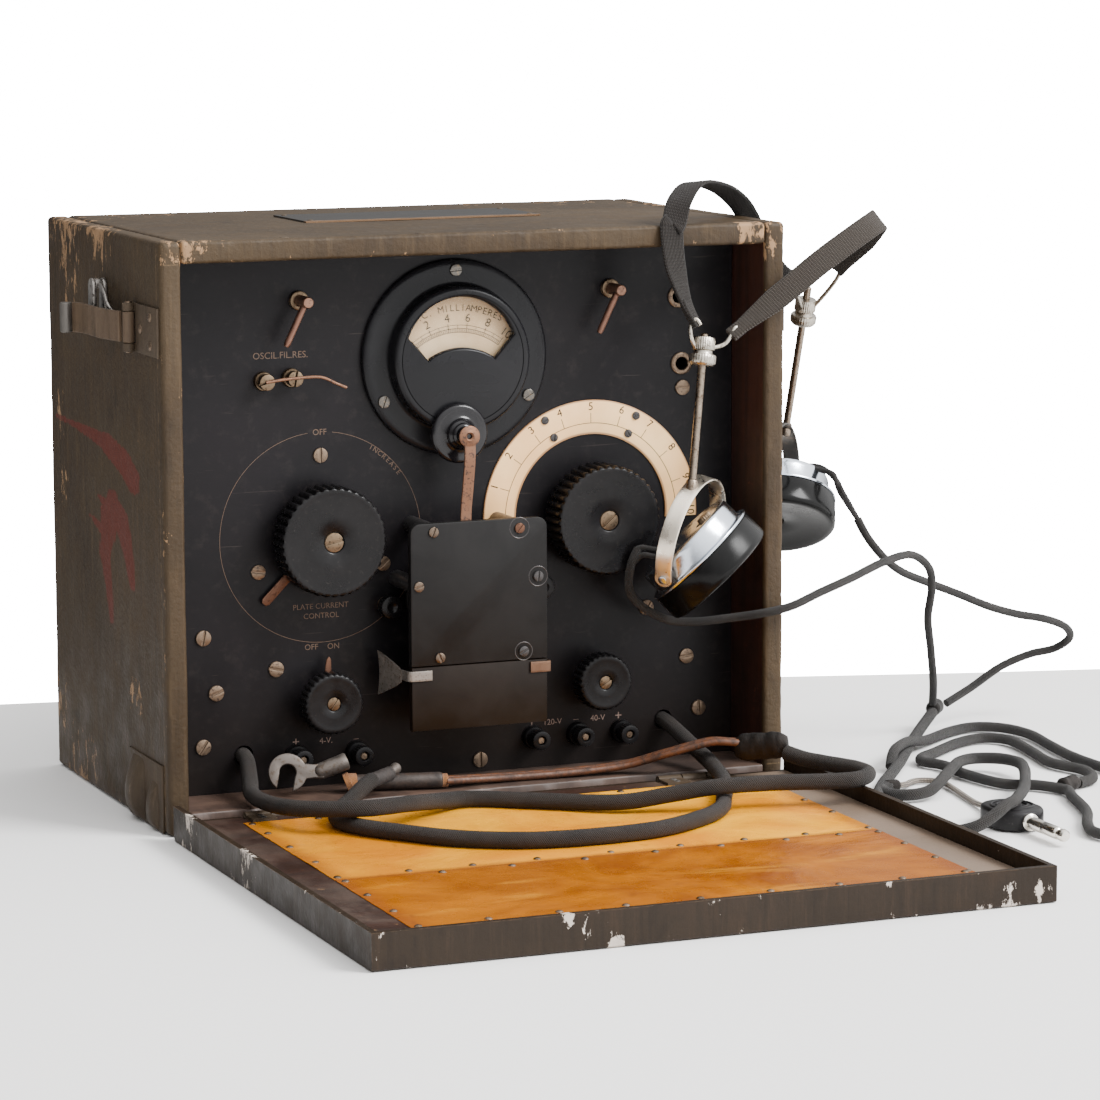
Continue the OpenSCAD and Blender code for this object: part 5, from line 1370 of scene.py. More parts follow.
def switch_pointer(b):
    t = facing(switch_x, switch_z, 34.2, -4.5)
    b.add(prism([(-1.9, 0), (1.9, 0), (1.7, 16), (1.2, 20.6), (0.3, 22), (-0.3, 22), (-1.2, 20.6), (-1.7, 16)], 0, 1.2,
                0.35, True), t, 2)
    b.add(turned([(0, 0), (5.4, 0), (5.5, 0.3), (5.5, 1.0), (5.2, 1.3), (0, 1.3)], 36), t, 0)


control("switch_knob_body", "filament_switch", "switch_knob", switch_x, switch_z, 15.6, knob_band("switch_knob"),
        30, 30, 0.9, 3.7, 55, switch_pointer)
control("fine_knob_body", "fine_control", "fine_knob", fine_x, fine_z, 14.7, knob_band("fine_knob"), 30, 28, 0.9,
        3.7, 30)
for node, look in (("condenser_stator", mat_alu), ("condenser_rotor", mat_alu), ("rheostat_body", mat_iron),
                   ("switch_bodies", mat_panel)):
    dress(node, look, 0.15)


# ---------------------------------------------------------------- levers, insulator, links
def lever(name, body, node, joint):
    x, z = joint_xz(joint)
    b = Build()
    f = facing(x, z, 34.6)
    b.add(turned([(2.95, -27), (2.95, 0), (2.95, 8.6), (2.9, 10.2), (2.4, 10.9), (1.2, 11.1), (0, 11.1)], 32), f, 0)
    b.add(turned([(0, -27), (2.95, -27)], 32), f, 0)
    rod = [Vector((0, 0, 0)) + Vector((-math.sin(math.radians(26)), -math.cos(math.radians(26)), 0)) * s
           for s in np.linspace(0, 24, 14)]
    b.add(hose(rod, lambda i, a, r: 1.75 - (0.5 if i == 13 else 0), 20), facing(x, z, 28), 1)
    return b.make(name, [mat_copper_dark, mat_rod], body, "copper", node, 40)


mat_copper_dark = simple_metal("lever_boss_metal", (0.20, 0.11, 0.075), 0.42, 0.35, 0.8, (0.07, 0.04, 0.03), 300)
mat_rod = simple_metal("lever_rod_metal", (0.15, 0.075, 0.052), 0.38, 0.3, 0.8, (0.12, 0.06, 0.04), 200)
lever("lever_left_body", "left_lever", "lever_left", "left_lever_turn")
lever("lever_right_body", "right_lever", "lever_right", "right_lever_turn")
bush = Build()
for jn in ("left_lever_turn", "right_lever_turn"):
    x, z = joint_xz(jn)
    bush.add(turned([(3.0, -16), (3.9, -16), (3.9, 0), (4.8, 0.1), (4.9, 0.8), (4.5, 1.4), (4.85, 2.0), (4.7, 2.7),
                     (4.1, 3.0), (3.0, 3.0), (3.0, -16)], 40), facing(x, z, PANEL_Y), 0)
bush.make("bushings", mat_brass, "case", "brass_dark", "lever_bushings", 40)

ins_lo, ins_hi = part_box("lead_insulator")
INS_X, INS_Z = (ins_lo.x + ins_hi.x) / 2 / MM, (ins_lo.z + ins_hi.z) / 2 / MM
ins = Build()
ins.add(turned([(0, -9.9), (5.1, -9.9), (5.2, 0), (6.5, 0.1), (14, 0.3), (14.8, 0.8), (15, 1.6), (14.9, 2.8),
                (14.4, 3.7),
                (13.4, 4.1), (12, 4.0), (9.5, 4.25), (8.0, 4.7), (7.5, 5.5), (7.5, 6.4), (7.1, 7.2), (6.2, 7.6),
                (5.7, 8.3), (6.0, 8.9), (5.6, 9.8), (4.6, 10.2), (4.5, 15.6), (0, 15.6)], 72),
                facing(INS_X, INS_Z, 25.6))
ins.make("pillar_insulator", mat_gloss, "case", "black_gloss", "lead_insulator", 50)

straps = Build()
straps.add(turned([(1.3, 0), (4.9, 0), (5.4, 0.4), (5.4, 1.2), (4.9, 1.6), (2.6, 1.6), (2.2, 1.9), (1.6, 1.5),
                   (1.3, 0.9)],
                  40), facing(INS_X, INS_Z, 10), 0)
down = even(smooth_line([(INS_X + 0.2, 9.2, INS_Z - 3), (INS_X + 0.2, 9.4, INS_Z - 12), (INS_X - 0.2, 11.4, INS_Z - 26),
                         (INS_X - 0.8, 13, INS_Z - 40), (INS_X - 1, 13, INS_Z - 59)], 8), 1.0)
straps.add(ribbon(down, [Vector((1, 0, 0))] * len(down), 5.8, 1.5), FLAT, 0)
link = even(smooth_line([(-102, 31.2, 216.8), (-94, 31, 217.8), (-86, 31, 218.3), (-74, 30.6, 218.4), (-66, 30.4, 215),
                         (-60.5, 30, 212.6)], 8), 0.8)
straps.add(hose(link, 0.75, 12), FLAT, 0)
clip_l = [Vector(p) for p in ((-25, 7.4, 69), (-30, 7.3, 69), (-34, 7.3, 69), (-36.4, 7.4, 69), (-37.2, 8.6, 69),
                              (-37.4, 11, 69), (-38.2, 15.6, 69))]
straps.add(ribbon(even(clip_l, 0.8), [Vector((0, 0, 1))] * len(even(clip_l, 0.8)), 5.2, 0.8), FLAT, 1)
clip_r = [Vector(p) for p in ((28, 7.4, 69.4), (33, 7.3, 69.4), (37, 7.3, 69.4), (38.6, 7.6, 69.4), (39, 9, 69.4),
                              (38.9, 14, 69.4))]
straps.add(ribbon(even(clip_r, 0.8), [Vector((0, 0, 1))] * len(even(clip_r, 0.8)), 5.6, 0.8), FLAT, 2)
fv, ff = [], []
rows = 10
for i in range(rows + 1):
    t = i / rows
    x, y = -38.4 - 6.2 * t, 15.4 + 14.5 * t
    half = 3.0 + 8.2 * t ** 0.8
    for j in range(9):
        s = j / 8 * 2 - 1
        for d in (-0.35, 0.35):
            fv.append((x + d * 0.9 - 0.9 * s * s * t, y + d * 0.3, 68.4 + s * half))
for i in range(rows):
    for j in range(8):
        for d in (0, 1):
            a, b = (i * 9 + j) * 2 + d, (i * 9 + j + 1) * 2 + d
            c, e = ((i + 1) * 9 + j + 1) * 2 + d, ((i + 1) * 9 + j) * 2 + d
            ff.append([a, b, c, e])
edge_ring = [(i, 0) for i in range(rows + 1)] + [(rows, j) for j in range(1, 9)] + \
    [(i, 8) for i in range(rows - 1, -1, -1)] + [(0, j) for j in range(7, 0, -1)]
for (i, j), (p, q) in zip(edge_ring, edge_ring[1:] + edge_ring[:1]):
    ff.append([(i * 9 + j) * 2, (i * 9 + j) * 2 + 1, (p * 9 + q) * 2 + 1, (p * 9 + q) * 2])
straps.add((fv, ff), FLAT, 1)
mat_rust = simple_metal("rusty_copper", (0.17, 0.085, 0.05), 0.6, 0.45, 0.6, (0.045, 0.03, 0.025), 320)
mat_bright = simple_metal("scuffed_clip", (0.22, 0.20, 0.18), 0.5, 0.35, 0.8, (0.12, 0.09, 0.07), 380)
mat_clip = simple_metal("copper_clip", (0.15, 0.09, 0.06), 0.45, 0.35, 0.9, (0.14, 0.08, 0.05), 320)
straps.make("copper_links", [mat_rust, mat_bright, mat_clip], "case", "copper", "copper_straps", 40)


# ---------------------------------------------------------------- coil card, posts, jacks
card = Build()
upper = circle_pts(5, 7, 32.4, 140.4, 90, 0) + [(37.4, 73.7), (-35.6, 73.7)] + circle_pts(5, 7, -30.6, 140.4, 180, 90)
CARD_Y = card_front
card.add(prism(upper, 0, 4, 0.35), facing(0, 0, CARD_Y + 4), 0)
card.add(prism([(-35.4, 41), (37.2, 41), (37.2, 73.1), (-35.4, 73.1)], 0, 4, 0.35), facing(0, 0, CARD_Y + 4), 1)
card.add(rounded((-30, 12, 64), (32, 15.8, 84), 0.3), FLAT, 0)
card.add(rounded((-30, 29, 100), (32, 32, 112), 0.3), FLAT, 0)
card.add(turned([(20, -18), (27, -18), (27, -4), (20, -4), (20, -18)], 64), facing(1, 108, 12), 2)
for i in range(12):
    r = 27.2
    card.add(turned([(r - 0.4, -5 - i), (r, -5.3 - i), (r, -5.7 - i), (r - 0.4, -6 - i)], 64), facing(1, 108, 12), 3)
for x, z in [(-23.5, 141), (-31.5, 114), (-20.5, 77.5), (22.5, 140.5), (32.5, 115.5), (24.5, 77.8)]:
    card.add(turned([(1.9, -28), (4.2, -28), (4.2, 0), (1.9, 0)], 28), facing(x, z, 12), 2)
for x, z, r in ((22.5, 140.5, 5.2), (32.5, 115.5, 5.0), (24.5, 77.8, 4.6)):
    card.add(turned([(r - 0.25, 0), (r, 0.1), (r + 0.25, 0)], 40), facing(x, z, CARD_Y - 0.02), 2)
mat_card_low = plastic("card_low_band", srgb(19, 12, 7), 0.45, 0.5)
card.make("coil_card_body", [mat_card, mat_card_low, mat_black_screw, mat_copper], "case", "black_panel",
          "coil_card", 40)

posts = Build()
for i, (x, z) in enumerate([(-86, 27), (-54, 26.5), (42, 27), (66.5, 27), (91, 26.5)]):
    f = facing(x, z, PANEL_Y)
    posts.add(turned([(2.1, -12), (2.1, 0), (6, 0.05), (6.1, 0.6), (5.9, 3.4), (5.5, 3.9), (3.4, 4.1), (3.4, 6.4)],
                     36), f, 0)
    posts.add(fluted([(3.2, 6.5, 0), (4.8, 6.6, 0.4), (5.05, 7.2, 1), (5.05, 12.2, 1), (4.8, 12.8, 0.4), (4.2, 13.0, 0),
                      (2.6, 13.0, 0), (2.3, 12.7, 0), (2.2, 10, 0), (0, 9.6, 0)], 22, 0.35, 6), f, 0)
    posts.add(turned([(0, 12.2), (1.5, 12.1), (2.0, 11.6), (2.0, 9.6)], 24), f, 1)
for x, z in ((-38, 101), (44, 106)):
    f = facing(x, z, PANEL_Y)
    posts.add(turned([(2.1, -12), (2.1, 0), (4, 0.1), (4, 6)], 32), f, 1)
    posts.add(fluted([(3.6, 6, 0), (5.7, 6.1, 0.4), (6.05, 6.7, 1), (6.05, 11.2, 1), (5.7, 11.8, 0.4), (5.1, 12, 0),
                      (2.7, 12, 0), (2.3, 11.6, 0), (0, 11.2, 0)], 24, 0.4, 6), f, 0)
for (x, z), t in zip(((-101, 216.7), (-86.3, 217.8)), (15, 80)):
    f = facing(x, z, PANEL_Y)
    posts.add(turned([(2.1, -10), (2.1, 0), (4.7, 0), (4.85, 0.4), (4.85, 1.8), (4.4, 2.4), (2.1, 2.5), (2.1, 5.2)],
                     32), f, 2)
    screw(posts, x, z, PANEL_Y - 5.2, 4, t, 2, 3.2, 0.9)
posts.make("terminal_posts", [mat_knob, mat_old_brass, mat_brass], "case", "black_panel", "binding_posts", 40)

jacks = Build()
for x, z in ((123.4, 250.3), (125.1, 215.8)):
    f = facing(x, z, PANEL_Y)
    jacks.add(turned([(3.32, 0.9), (3.6, 1.45), (4.2, 1.6), (5.2, 1.5), (5.75, 1.0), (5.8, 0), (4.6, 0),
                      (4.6, -32)], 48), f, 0)
    jacks.add(turned([(3.32, 0.9), (3.3, 0), (3.3, -28), (0, -28)], 40), f, 2)
    jacks.add(turned([(4.6, -6), (7.4, -6), (7.4, -10), (4.6, -10)], 6), f, 1)
    jacks.add(turned([(4.6, -32), (3.4, -32.2), (0, -32.2)], 40), f, 0)
mat_bore = plastic("jack_bore", srgb(12, 11, 11), 0.5, 0.2)
jacks.make("phone_jacks", [mat_old_brass, mat_brass, mat_bore], "case", "black_panel", "jack_sockets", 40)

tube_glass = Look("silvered_glass")
sx, sy, sz = tube_glass.xyz()
top_silver = tube_glass.step(tube_glass.calc("ADD", sz, tube_glass.calc("MULTIPLY", tube_glass.noise(40, 3),
                                                                        0.012)), 0.132,
                             0.146)
tube_glass.set(base_color=tube_glass.mix(top_silver, (0.75, 0.79, 0.77), (0.42, 0.41, 0.40)), metallic=top_silver,
               roughness=0.12)
tubes = Build()
for x in (-66, -8):
    glass_line = smooth_line([(17.0, 31, 0), (15.2, 34, 0), (18.6, 41, 0), (21.6, 49, 0), (22.4, 58, 0), (21.4, 69, 0),
                              (17.6, 79, 0), (11, 86.4, 0), (5, 90, 0), (2.6, 93, 0), (1.6, 97, 0), (0, 98, 0)], 4)
    tubes.add(turned([(p.x, p.y) for p in glass_line], 48), placed(x, 150, 69), 0)
    tubes.add(turned([(0, 0), (17.3, 0), (17.4, 1), (17.4, 30), (17.0, 32), (15.5, 32.4)], 48), placed(x, 150, 69), 1)
tubes.make("valves", [tube_glass.mat, mat_brass], "case", "tube_glass", "vacuum_tubes", 50)
dress("transformer", mat_iron, 0.6)
dress("tube_shelf", mat_shelf, 0.5)


# ---------------------------------------------------------------- door
dress("door_pan", mat_door, 0.7, 3)
wood = Look("door_board_wood")
grain = wood.noise(38, 7, 0.68, 1.0, wood.coords((0.1, 1, 1)))
blot = wood.noise(16, 5, 0.62, 0.5)
fleck = wood.noise(150, 6, 0.75)
wx = wood.xyz()[0]
tone = wood.mix(wood.step(grain, 0.34, 0.66), srgb(46, 26, 18), srgb(27, 16, 11))
tone = wood.mix(wood.step(blot, 0.42, 0.66, 0, 0.6), tone, srgb(66, 52, 42))
tone = wood.mix(wood.calc("MULTIPLY", wood.step(wx, 0.06, 0.15), 0.7), tone, srgb(120, 102, 86))
tone = wood.mix(wood.step(fleck, 0.64, 0.7, 0, 0.75), tone, srgb(130, 98, 66))
wood.set(base_color=tone, roughness=wood.step(blot, 0.3, 0.7, 0.34, 0.6))
wood.bump((grain, 0.4, 0.0008), (fleck, 0.3, 0.0004), (wood.noise(600, 3), 0.25, 0.0003))
mat_board = wood.mat
dress("door_board", mat_board, 0.3)

sheet = Look("amber_celluloid")
sx, sy, sz = sheet.xyz()
broad = sheet.noise(13, 4, 0.6, 0.8)
mid = sheet.noise(42, 5, 0.65, 0.5)
streaks = sheet.noise(30, 5, 0.6, 0.4, sheet.coords((0.35, 1.5, 1), (0, 0, 24)))
SEAM = FRONT + (-157.2) * MM
front_half = sheet.step(sy, SEAM + 0.0002, SEAM - 0.0002)
rear_tone = sheet.mix(sheet.step(broad, 0.3, 0.7), srgb(230, 160, 10), srgb(198, 120, 3))
rear_tone = sheet.mix(sheet.calc("MULTIPLY", sheet.step(sx, 0.02, -0.12), 0.5), rear_tone, srgb(160, 90, 8))
front_tone = sheet.mix(sheet.step(broad, 0.3, 0.7), srgb(156, 90, 2), srgb(114, 56, 0))
tone = sheet.mix(front_half, rear_tone, front_tone)
tone = sheet.mix(sheet.step(streaks, 0.55, 0.75, 0, 0.4), tone, srgb(216, 148, 30))
stain = sheet.calc("ADD", sheet.step(mid, 0.62, 0.74), sheet.calc("MULTIPLY", sheet.step(sheet.noise(120, 6, 0.75),
                                                                                         0.68, 0.72), 1.0),
                   clamp=True)
tone = sheet.mix(sheet.calc("MULTIPLY", stain, 0.55), tone, srgb(92, 46, 14))
edge_in = sheet.calc("MINIMUM", sheet.calc("SUBTRACT", sheet.calc("ABSOLUTE", sheet.calc("SUBTRACT", sx, 0.00275)),
                                           0.1378),
                     1.0)
rim_dark = sheet.step(sheet.calc("ADD", edge_in, sheet.calc("MULTIPLY", mid, 0.008)), -0.008, 0.003)
tone = sheet.mix(sheet.calc("MULTIPLY", rim_dark, 0.6), tone, srgb(120, 62, 22))
seam_dark = sheet.step(sheet.calc("ADD", sheet.near(sy, SEAM, 0.006), sheet.calc("MULTIPLY", mid, 0.8)), 0.6, 1.2, 1, 0)
tone = sheet.mix(sheet.calc("MULTIPLY", seam_dark, 0.5), tone, srgb(120, 66, 26))
sheet.set(base_color=tone, roughness=sheet.step(mid, 0.3, 0.7, 0.2, 0.38), specular_ior_level=0.2)
sheet.bump((broad, 0.5, 0.004), (streaks, 0.25, 0.0012), (mid, 0.12, 0.0006))


def thin_sheet(build, x0, x1, y0, y1, z, thick, seed):
    nx, ny = int((x1 - x0) / 3), int((y1 - y0) / 3)
    verts, faces = [], []
    for h in (0, 1):
        for j in range(ny + 1):
            for i in range(nx + 1):
                x, y = x0 + (x1 - x0) * i / nx, y0 + (y1 - y0) * j / ny
                e = min(i, nx - i, j, ny - j) / 4
                lift = max(0.0, noise.noise(Vector((x * 0.028, y * 0.028, seed)))) * 0.75 + \
                    0.18 * max(0.0, noise.noise(Vector((x * 0.09, y * 0.05, seed + 5))))
                lift *= 0.45 + 0.55 * min(1, e)
                ragged = 0.35 * noise.noise(Vector((x * 0.2, y * 0.2, seed))) if e == 0 else 0
                verts.append((x + ragged, y + ragged, z + lift + h * thick))
    row = nx + 1
    layer = row * (ny + 1)
    for j in range(ny):
        for i in range(nx):
            a = j * row + i
            faces.append([layer + a, layer + a + 1, layer + a + row + 1, layer + a + row])
            faces.append([a, a + row, a + row + 1, a + 1])
    ring = [i for i in range(nx)] + [nx + j * row for j in range(ny)] + [ny * row + i for i in range(nx, 0, -1)] + \
        [j * row for j in range(ny, 0, -1)]
    for a, b in zip(ring, ring[1:] + ring[:1]):
        faces.append([a, b, b + layer, a + layer])
    build.add((verts, faces))


BOARD_TOP = (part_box("door_board")[1].z) / MM
sheets = Build()
thin_sheet(sheets, -135, 140.5, -157, -24, BOARD_TOP + 0.02, 0.35, 1.0)
thin_sheet(sheets, -135, 140.5, -261, -157.4, BOARD_TOP + 0.02, 0.35, 9.0)
sheets.make("celluloid_covers", sheet.mat, "door", "amber_sheet", "celluloid_sheets", 60)

tacks = Build()
TACKS = [(-131.5, y) for y in (-28, -51, -84, -119, -153, -162, -192, -225, -256)] + \
    [(x, -255.5) for x in (-98, -65, -33, 3, 38, 72, 104, 136)] + \
    [(138, y) for y in (-29, -56, -82, -113, -153, -163, -190, -223, -255)] + \
    [(x, -153.4) for x in (-98, -66, -34, 3, 39, 72, 104)] + [(x, -161.4) for x in (-84, -50, -14, 22, 56, 90, 118)] + \
    [(x, -28) for x in (-98, -60, -22, 24, 62, 100)]
for i, (x, y) in enumerate(TACKS):
    x, y = x + 1.2 * noise.noise(Vector((i, 1, 1)) * 3.1), y + 1.2 * noise.noise(Vector((1, i, 1)) * 3.1)
    z = BOARD_TOP + 0.5
    tilt = (6 * noise.noise(Vector((i * 1.7, 2, 3))), 6 * noise.noise(Vector((3, i * 1.3, 2))), 0)
    tacks.add(turned([(0, 0.75), (0.8, 0.7), (1.5, 0.4), (1.9, 0), (1.8, -0.3), (0.6, -0.4), (0.5, -2.5), (0, -3)], 18),
              placed(x, y, z, tilt), 1 if i % 4 else 0)
tacks.make("sheet_tacks", [mat_brass, mat_old_brass], "door", "brass_dark")

for node, body in (("case_hinges", "case"), ("hinge_door_leaves", "door")):
    dress(node, mat_fitting, 0.3)
hscrews = Build()
for x in (-110, 110):
    for dx in (-13, 13):
        for y in (-14.5, -18.8):
            hscrews.add(turned([(0, 0.5), (1.0, 0.45), (1.7, 0.1), (1.7, -0.6), (0, -0.6)], 20),
                        placed(x + dx, y, BOARD_TOP + 1.4), 0)
hscrews.make("hinge_screws", [mat_steel], "door", "steel")


# ---------------------------------------------------------------- latches, loops and shoes
LATCH = [abs(v) for v in local(JOINT["right_latch_pivot"]["pos_m"])]
LX, LY = LATCH[0], LATCH[1]


def flip(shape, sign):
    verts, faces, *rest = shape
    return ([(sign * v[0], v[1], v[2]) for v in verts], faces, *rest)


leafs = Build()
for s in (-1, 1):
    leafs.add(flip(rounded((HALF - 0.2, 3, 234), (HALF + 1.2, LY - 3.6, 258), 0.35), s), FLAT, 0)
    for z0, z1 in ((234, 238.3), (254, 258)):
        leafs.add(flip(rounded((HALF - 0.2, LY - 5, z0), (HALF + 1.2, LY + 1, z1), 0.3), s), FLAT, 0)
        leafs.add(flip(turned([(0, z0), (2.6, z0), (3.0, z0 + 0.3), (3.0, z1 - 0.3), (2.6, z1), (0, z1)], 32), s),
                  Matrix.Translation(Vector((s * LX * MM, LY * MM, 0))) @ FLAT, 0)
    leafs.add(turned([(0, 233.4), (1.5, 233.5), (1.9, 234), (1.35, 234), (1.35, 258), (1.9, 258), (1.6, 258.7),
                      (0, 258.8)], 24),
              Matrix.Translation(Vector((s * LX * MM, LY * MM, 0))) @ FLAT, 1)
    for y, z in ((14, 239), (14, 253), (30, 246)):
        leafs.add(turned([(0, 1.0), (1.4, 0.9), (2.3, 0.3), (2.4, -0.2), (0, -0.2)], 24),
                  placed(s * (HALF + 1.2), y, z, (0, 90 * s, 0)), 1)
leafs.make("latch_hinge_leaves", [mat_fitting, mat_old_brass], "case", "painted_steel", "latch_leaves", 40)

STRAP = [(0.6, 3.0), (1.6, 2.2), (2.9, 4.4), (4.3, 9.2), (6.4, 20.2), (7.4, 32), (7.4, 46), (8.1, 54.2), (10.9, 60.6),
         (15.1, 63.1)]
mat_strap = painted("strap_paint", srgb(68, 55, 42), srgb(86, 71, 57), srgb(130, 104, 78), [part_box("latch_strap_left")],
                    0.002, 0.7, 0.5, 0.5)
for s, side in ((-1, "left"), (1, "right")):
    b = Build()
    line = even(smooth_line([(s * (LX + x), LY + y, 246.15) for x, y in STRAP[2:]], 6), 1.2)
    b.add(ribbon(line, [Vector((0, 0, 1))] * len(line), 15.1, 1.45), FLAT, 0)
    b.add(turned([(1.42, 238.6), (2.7, 238.6), (3.0, 238.9), (3.0, 253.4), (2.7, 253.7), (1.42, 253.7),
                  (1.42, 238.6)], 32),
          Matrix.Translation(Vector((s * LX * MM, LY * MM, 0))) @ FLAT, 0)
    b.add(turned([(0, 238.5), (2.6, 238.6), (3.1, 239.1), (3.1, 253.2), (2.6, 253.7), (0, 253.8)], 32),
          Matrix.Translation(Vector((s * (LX + 14.2) * MM, (LY + 61.2) * MM, 0))) @ FLAT, 1)
    b.make(f"strap_{side}", [mat_strap, mat_iron], f"{side}_latch", "painted_steel", f"latch_strap_{side}", 40)

loops = Build()
for s in (-1, 1):
    arch = [(-4.5, 0), (4.5, 0)] + circle_pts(4.5, 16, 0, 15.6, 0, 180)
    outer = [(a * 1.0, h) for a, h in arch]
    for x0, x1 in ((HALF - 0.1, HALF + 2.0), (HALF + 5.6, HALF + 7.6)):
        sh = prism(outer, 0, x1 - x0, 0.5, True)
        m = Matrix.Translation(at(s * x0, 93.5, 246)) @ Matrix.Scale(MM, 4) @ \
            Matrix(((0, 0, s, 0), (1, 0, 0, 0), (0, 1, 0, 0), (0, 0, 0, 1)))
        loops.add(sh, m, 0)
    loops.add(flip(rounded((HALF + 1.6, 89.2, 246.2), (HALF + 6.0, 97.8, 249.2), 0.5), s), FLAT, 0)
    loops.add(flip(rounded((HALF + 1.6, 90.4, 261), (HALF + 6.0, 96.6, 265.8), 0.9), s), FLAT, 0)
    hook = even(smooth_line([(s * (HALF + 4), 90.5, 263), (s * (HALF + 5), 82, 262.5), (s * (HALF + 6), 74, 260),
                             (s * (HALF + 6.4), 68, 255.5), (s * (HALF + 4), 66, 251.5),
                             (s * (HALF + 1), 65.6, 249.6)], 8), 0.8)
    loops.add(hose(hook, lambda i, a, r: 1.1, 14), FLAT, 1)
loops.make("strap_staples", [mat_steel, mat_steel], "case", "steel", "strap_loops", 40)

shoes = Build()
for s in (-1, 1):
    for y0, y1, h, bulge in ((37, 60, 33, 7), (14, 28, 25, 5)):
        rows, cols = 26, 18
        verts, faces = [], []
        for i in range(rows + 1):
            t = i / rows
            z = 0.4 + (h - 0.4) * t
            prof = math.sin(math.pi * min(1.0, t ** 0.75)) ** 0.7 if 0 < t < 1 else 0
            for j in range(cols + 1):
                c = -1 + 2 * j / cols
                w = (1 - abs(c) ** 3.2) ** 0.8 if abs(c) < 1 else 0
                verts.append((s * (HALF - 0.15 + bulge * prof * w), (y0 + y1) / 2 + c * (y1 - y0) / 2, z))
        for i in range(rows):
            for j in range(cols):
                a = i * (cols + 1) + j
                faces.append([a, a + 1, a + cols + 2, a + cols + 1])
        ring = list(range(cols + 1)) + [(i + 1) * (cols + 1) + cols for i in range(rows)] + \
            [rows * (cols + 1) + j for j in range(cols - 1, -1, -1)] + [i * (cols + 1) for i in range(rows - 1, 0, -1)]
        faces.append(ring[::-1])
        shoes.add((verts, faces))
    shoes.add(flip(rounded((HALF - 0.3, 8, 0.4), (HALF + 0.8, 64, 34), 0.35), s), FLAT, 0)
shoes.make("corner_shoe_ribs", mat_fitting, "case", "painted_steel", "corner_shoes", 50)


# ---------------------------------------------------------------- headset
def turn_matrix(euler):
    return Euler([math.radians(a) for a in euler], "XYZ").to_matrix()


def weave(name, base, pale):
    k = Look(name)
    u, v, _ = k.xyz(k.node("ShaderNodeTexCoord").outputs["UV"])
    across = k.calc("MULTIPLY", u, 2 * math.pi * 15)
    along = k.calc("MULTIPLY", v, 2 * math.pi * 620)
    a = k.calc("SINE", across)
    b = k.calc("SINE", k.calc("ADD", along, k.calc("MULTIPLY", k.step(a, -0.2, 0.2), math.pi)))
    cloth = k.calc("MULTIPLY", k.calc("ADD", a, 1.3), k.calc("ADD", b, 1.3))
    border = k.step(k.near(u, 0.5, 0.5), 0.80, 0.86)
    dirt = k.noise(40, 5, 0.65)
    tone = k.mix(k.calc("DIVIDE", cloth, 5.3, clamp=True), [x * 0.45 for x in base], pale)
    tone = k.mix(k.step(dirt, 0.4, 0.7, 0, 0.6), tone, base)
    tone = k.mix(k.calc("MULTIPLY", border, 0.35), tone, [x * 0.6 for x in base])
    k.set(base_color=tone, roughness=0.92, specular_ior_level=0.2)
    k.set(sheen_weight=0.08)
    k.bump((cloth, 0.6, 0.0006), (k.noise(1400, 2), 0.4, 0.0003))
    return k.mat


mat_web_1 = weave("webbing_dark", srgb(24, 19, 16), srgb(40, 34, 29))
mat_web_2 = weave("webbing_light", srgb(44, 37, 31), srgb(68, 60, 52))
BAND_1 = [(109.5, -15, 240), (105, -11, 252), (101.5, -6, 270), (101.5, -1.5, 288), (103.5, -0.3, 291.6), (109, 5, 302),
          (122, 16, 309.5), (142, 30, 306), (158, 43, 298), (168, 51.5, 289), (176, 58, 278), (190, 68, 264),
          (205, 76, 254)]
SIDE_1 = [(0.75, 0.65, 0), (0.85, 0.5, 0), (0.95, 0.2, -0.05), (1, 0, -0.1), (1, -0.1, 0), (0.9, -0.4, 0),
          (0.75, -0.65, 0.1),
          (0.7, -0.7, 0.15), (0.65, -0.7, 0.2), (0.6, -0.75, 0.2), (0.6, -0.75, 0.2), (0.6, -0.75, 0.2),
          (0.6, -0.75, 0.2)]
BAND_2 = [(128, -15, 235), (140, -14, 243), (160, -12, 256), (182, -8, 270), (203, -2, 281), (218, 6, 287),
          (227, 18, 287.5),
          (231, 34, 281), (231, 50, 271), (227, 66, 258)]
SIDE_2 = [(-0.35, 0.75, 0.6), (-0.4, 0.65, 0.65), (-0.45, 0.5, 0.75), (-0.5, 0.4, 0.77), (-0.5, 0.4, 0.77)] + \
    [(-0.48, 0.41, 0.77)] * 4 + [(-0.3, 0.2, 0.5)]
HOOKS = [[(108.6, -15.6, 229.4), (106, -15.8, 234.5), (105.8, -15.2, 240), (108.4, -15.6, 244), (110.6, -16.6, 241)],
         [(118, -14.8, 229), (124, -15, 230.5), (127, -15.2, 233.5), (131, -14.4, 239), (132.5, -14.2, 235)],
         [(213.7, 81.8, 237.4), (210.5, 79.4, 243), (206, 76.6, 249.5), (203, 75, 255), (205, 77.5, 257)],
         [(219.7, 81.1, 237.4), (223.8, 75.5, 244.5), (227.2, 69, 252.5), (228, 65, 258.5), (225.4, 68, 259.4)]]
for i, (points, sides, look) in enumerate(((BAND_1, SIDE_1, mat_web_1), (BAND_2, SIDE_2, mat_web_2))):
    line = smooth_line(points, 14)
    dirs = smooth_line(sides, 14)
    b = Build().add(ribbon(line, dirs, 12.5, 1.9, 0.5))
    for end in (0, -1):
        seg = line[:16] if end == 0 else line[-16:]
        dd = dirs[:16] if end == 0 else dirs[-16:]
        b.add(ribbon(seg, dd, 7.4, 3.2))
    b.make(f"head_band_{i + 1}", look, "case", "webbing", "head_bands" if i == 0 else (), 60)

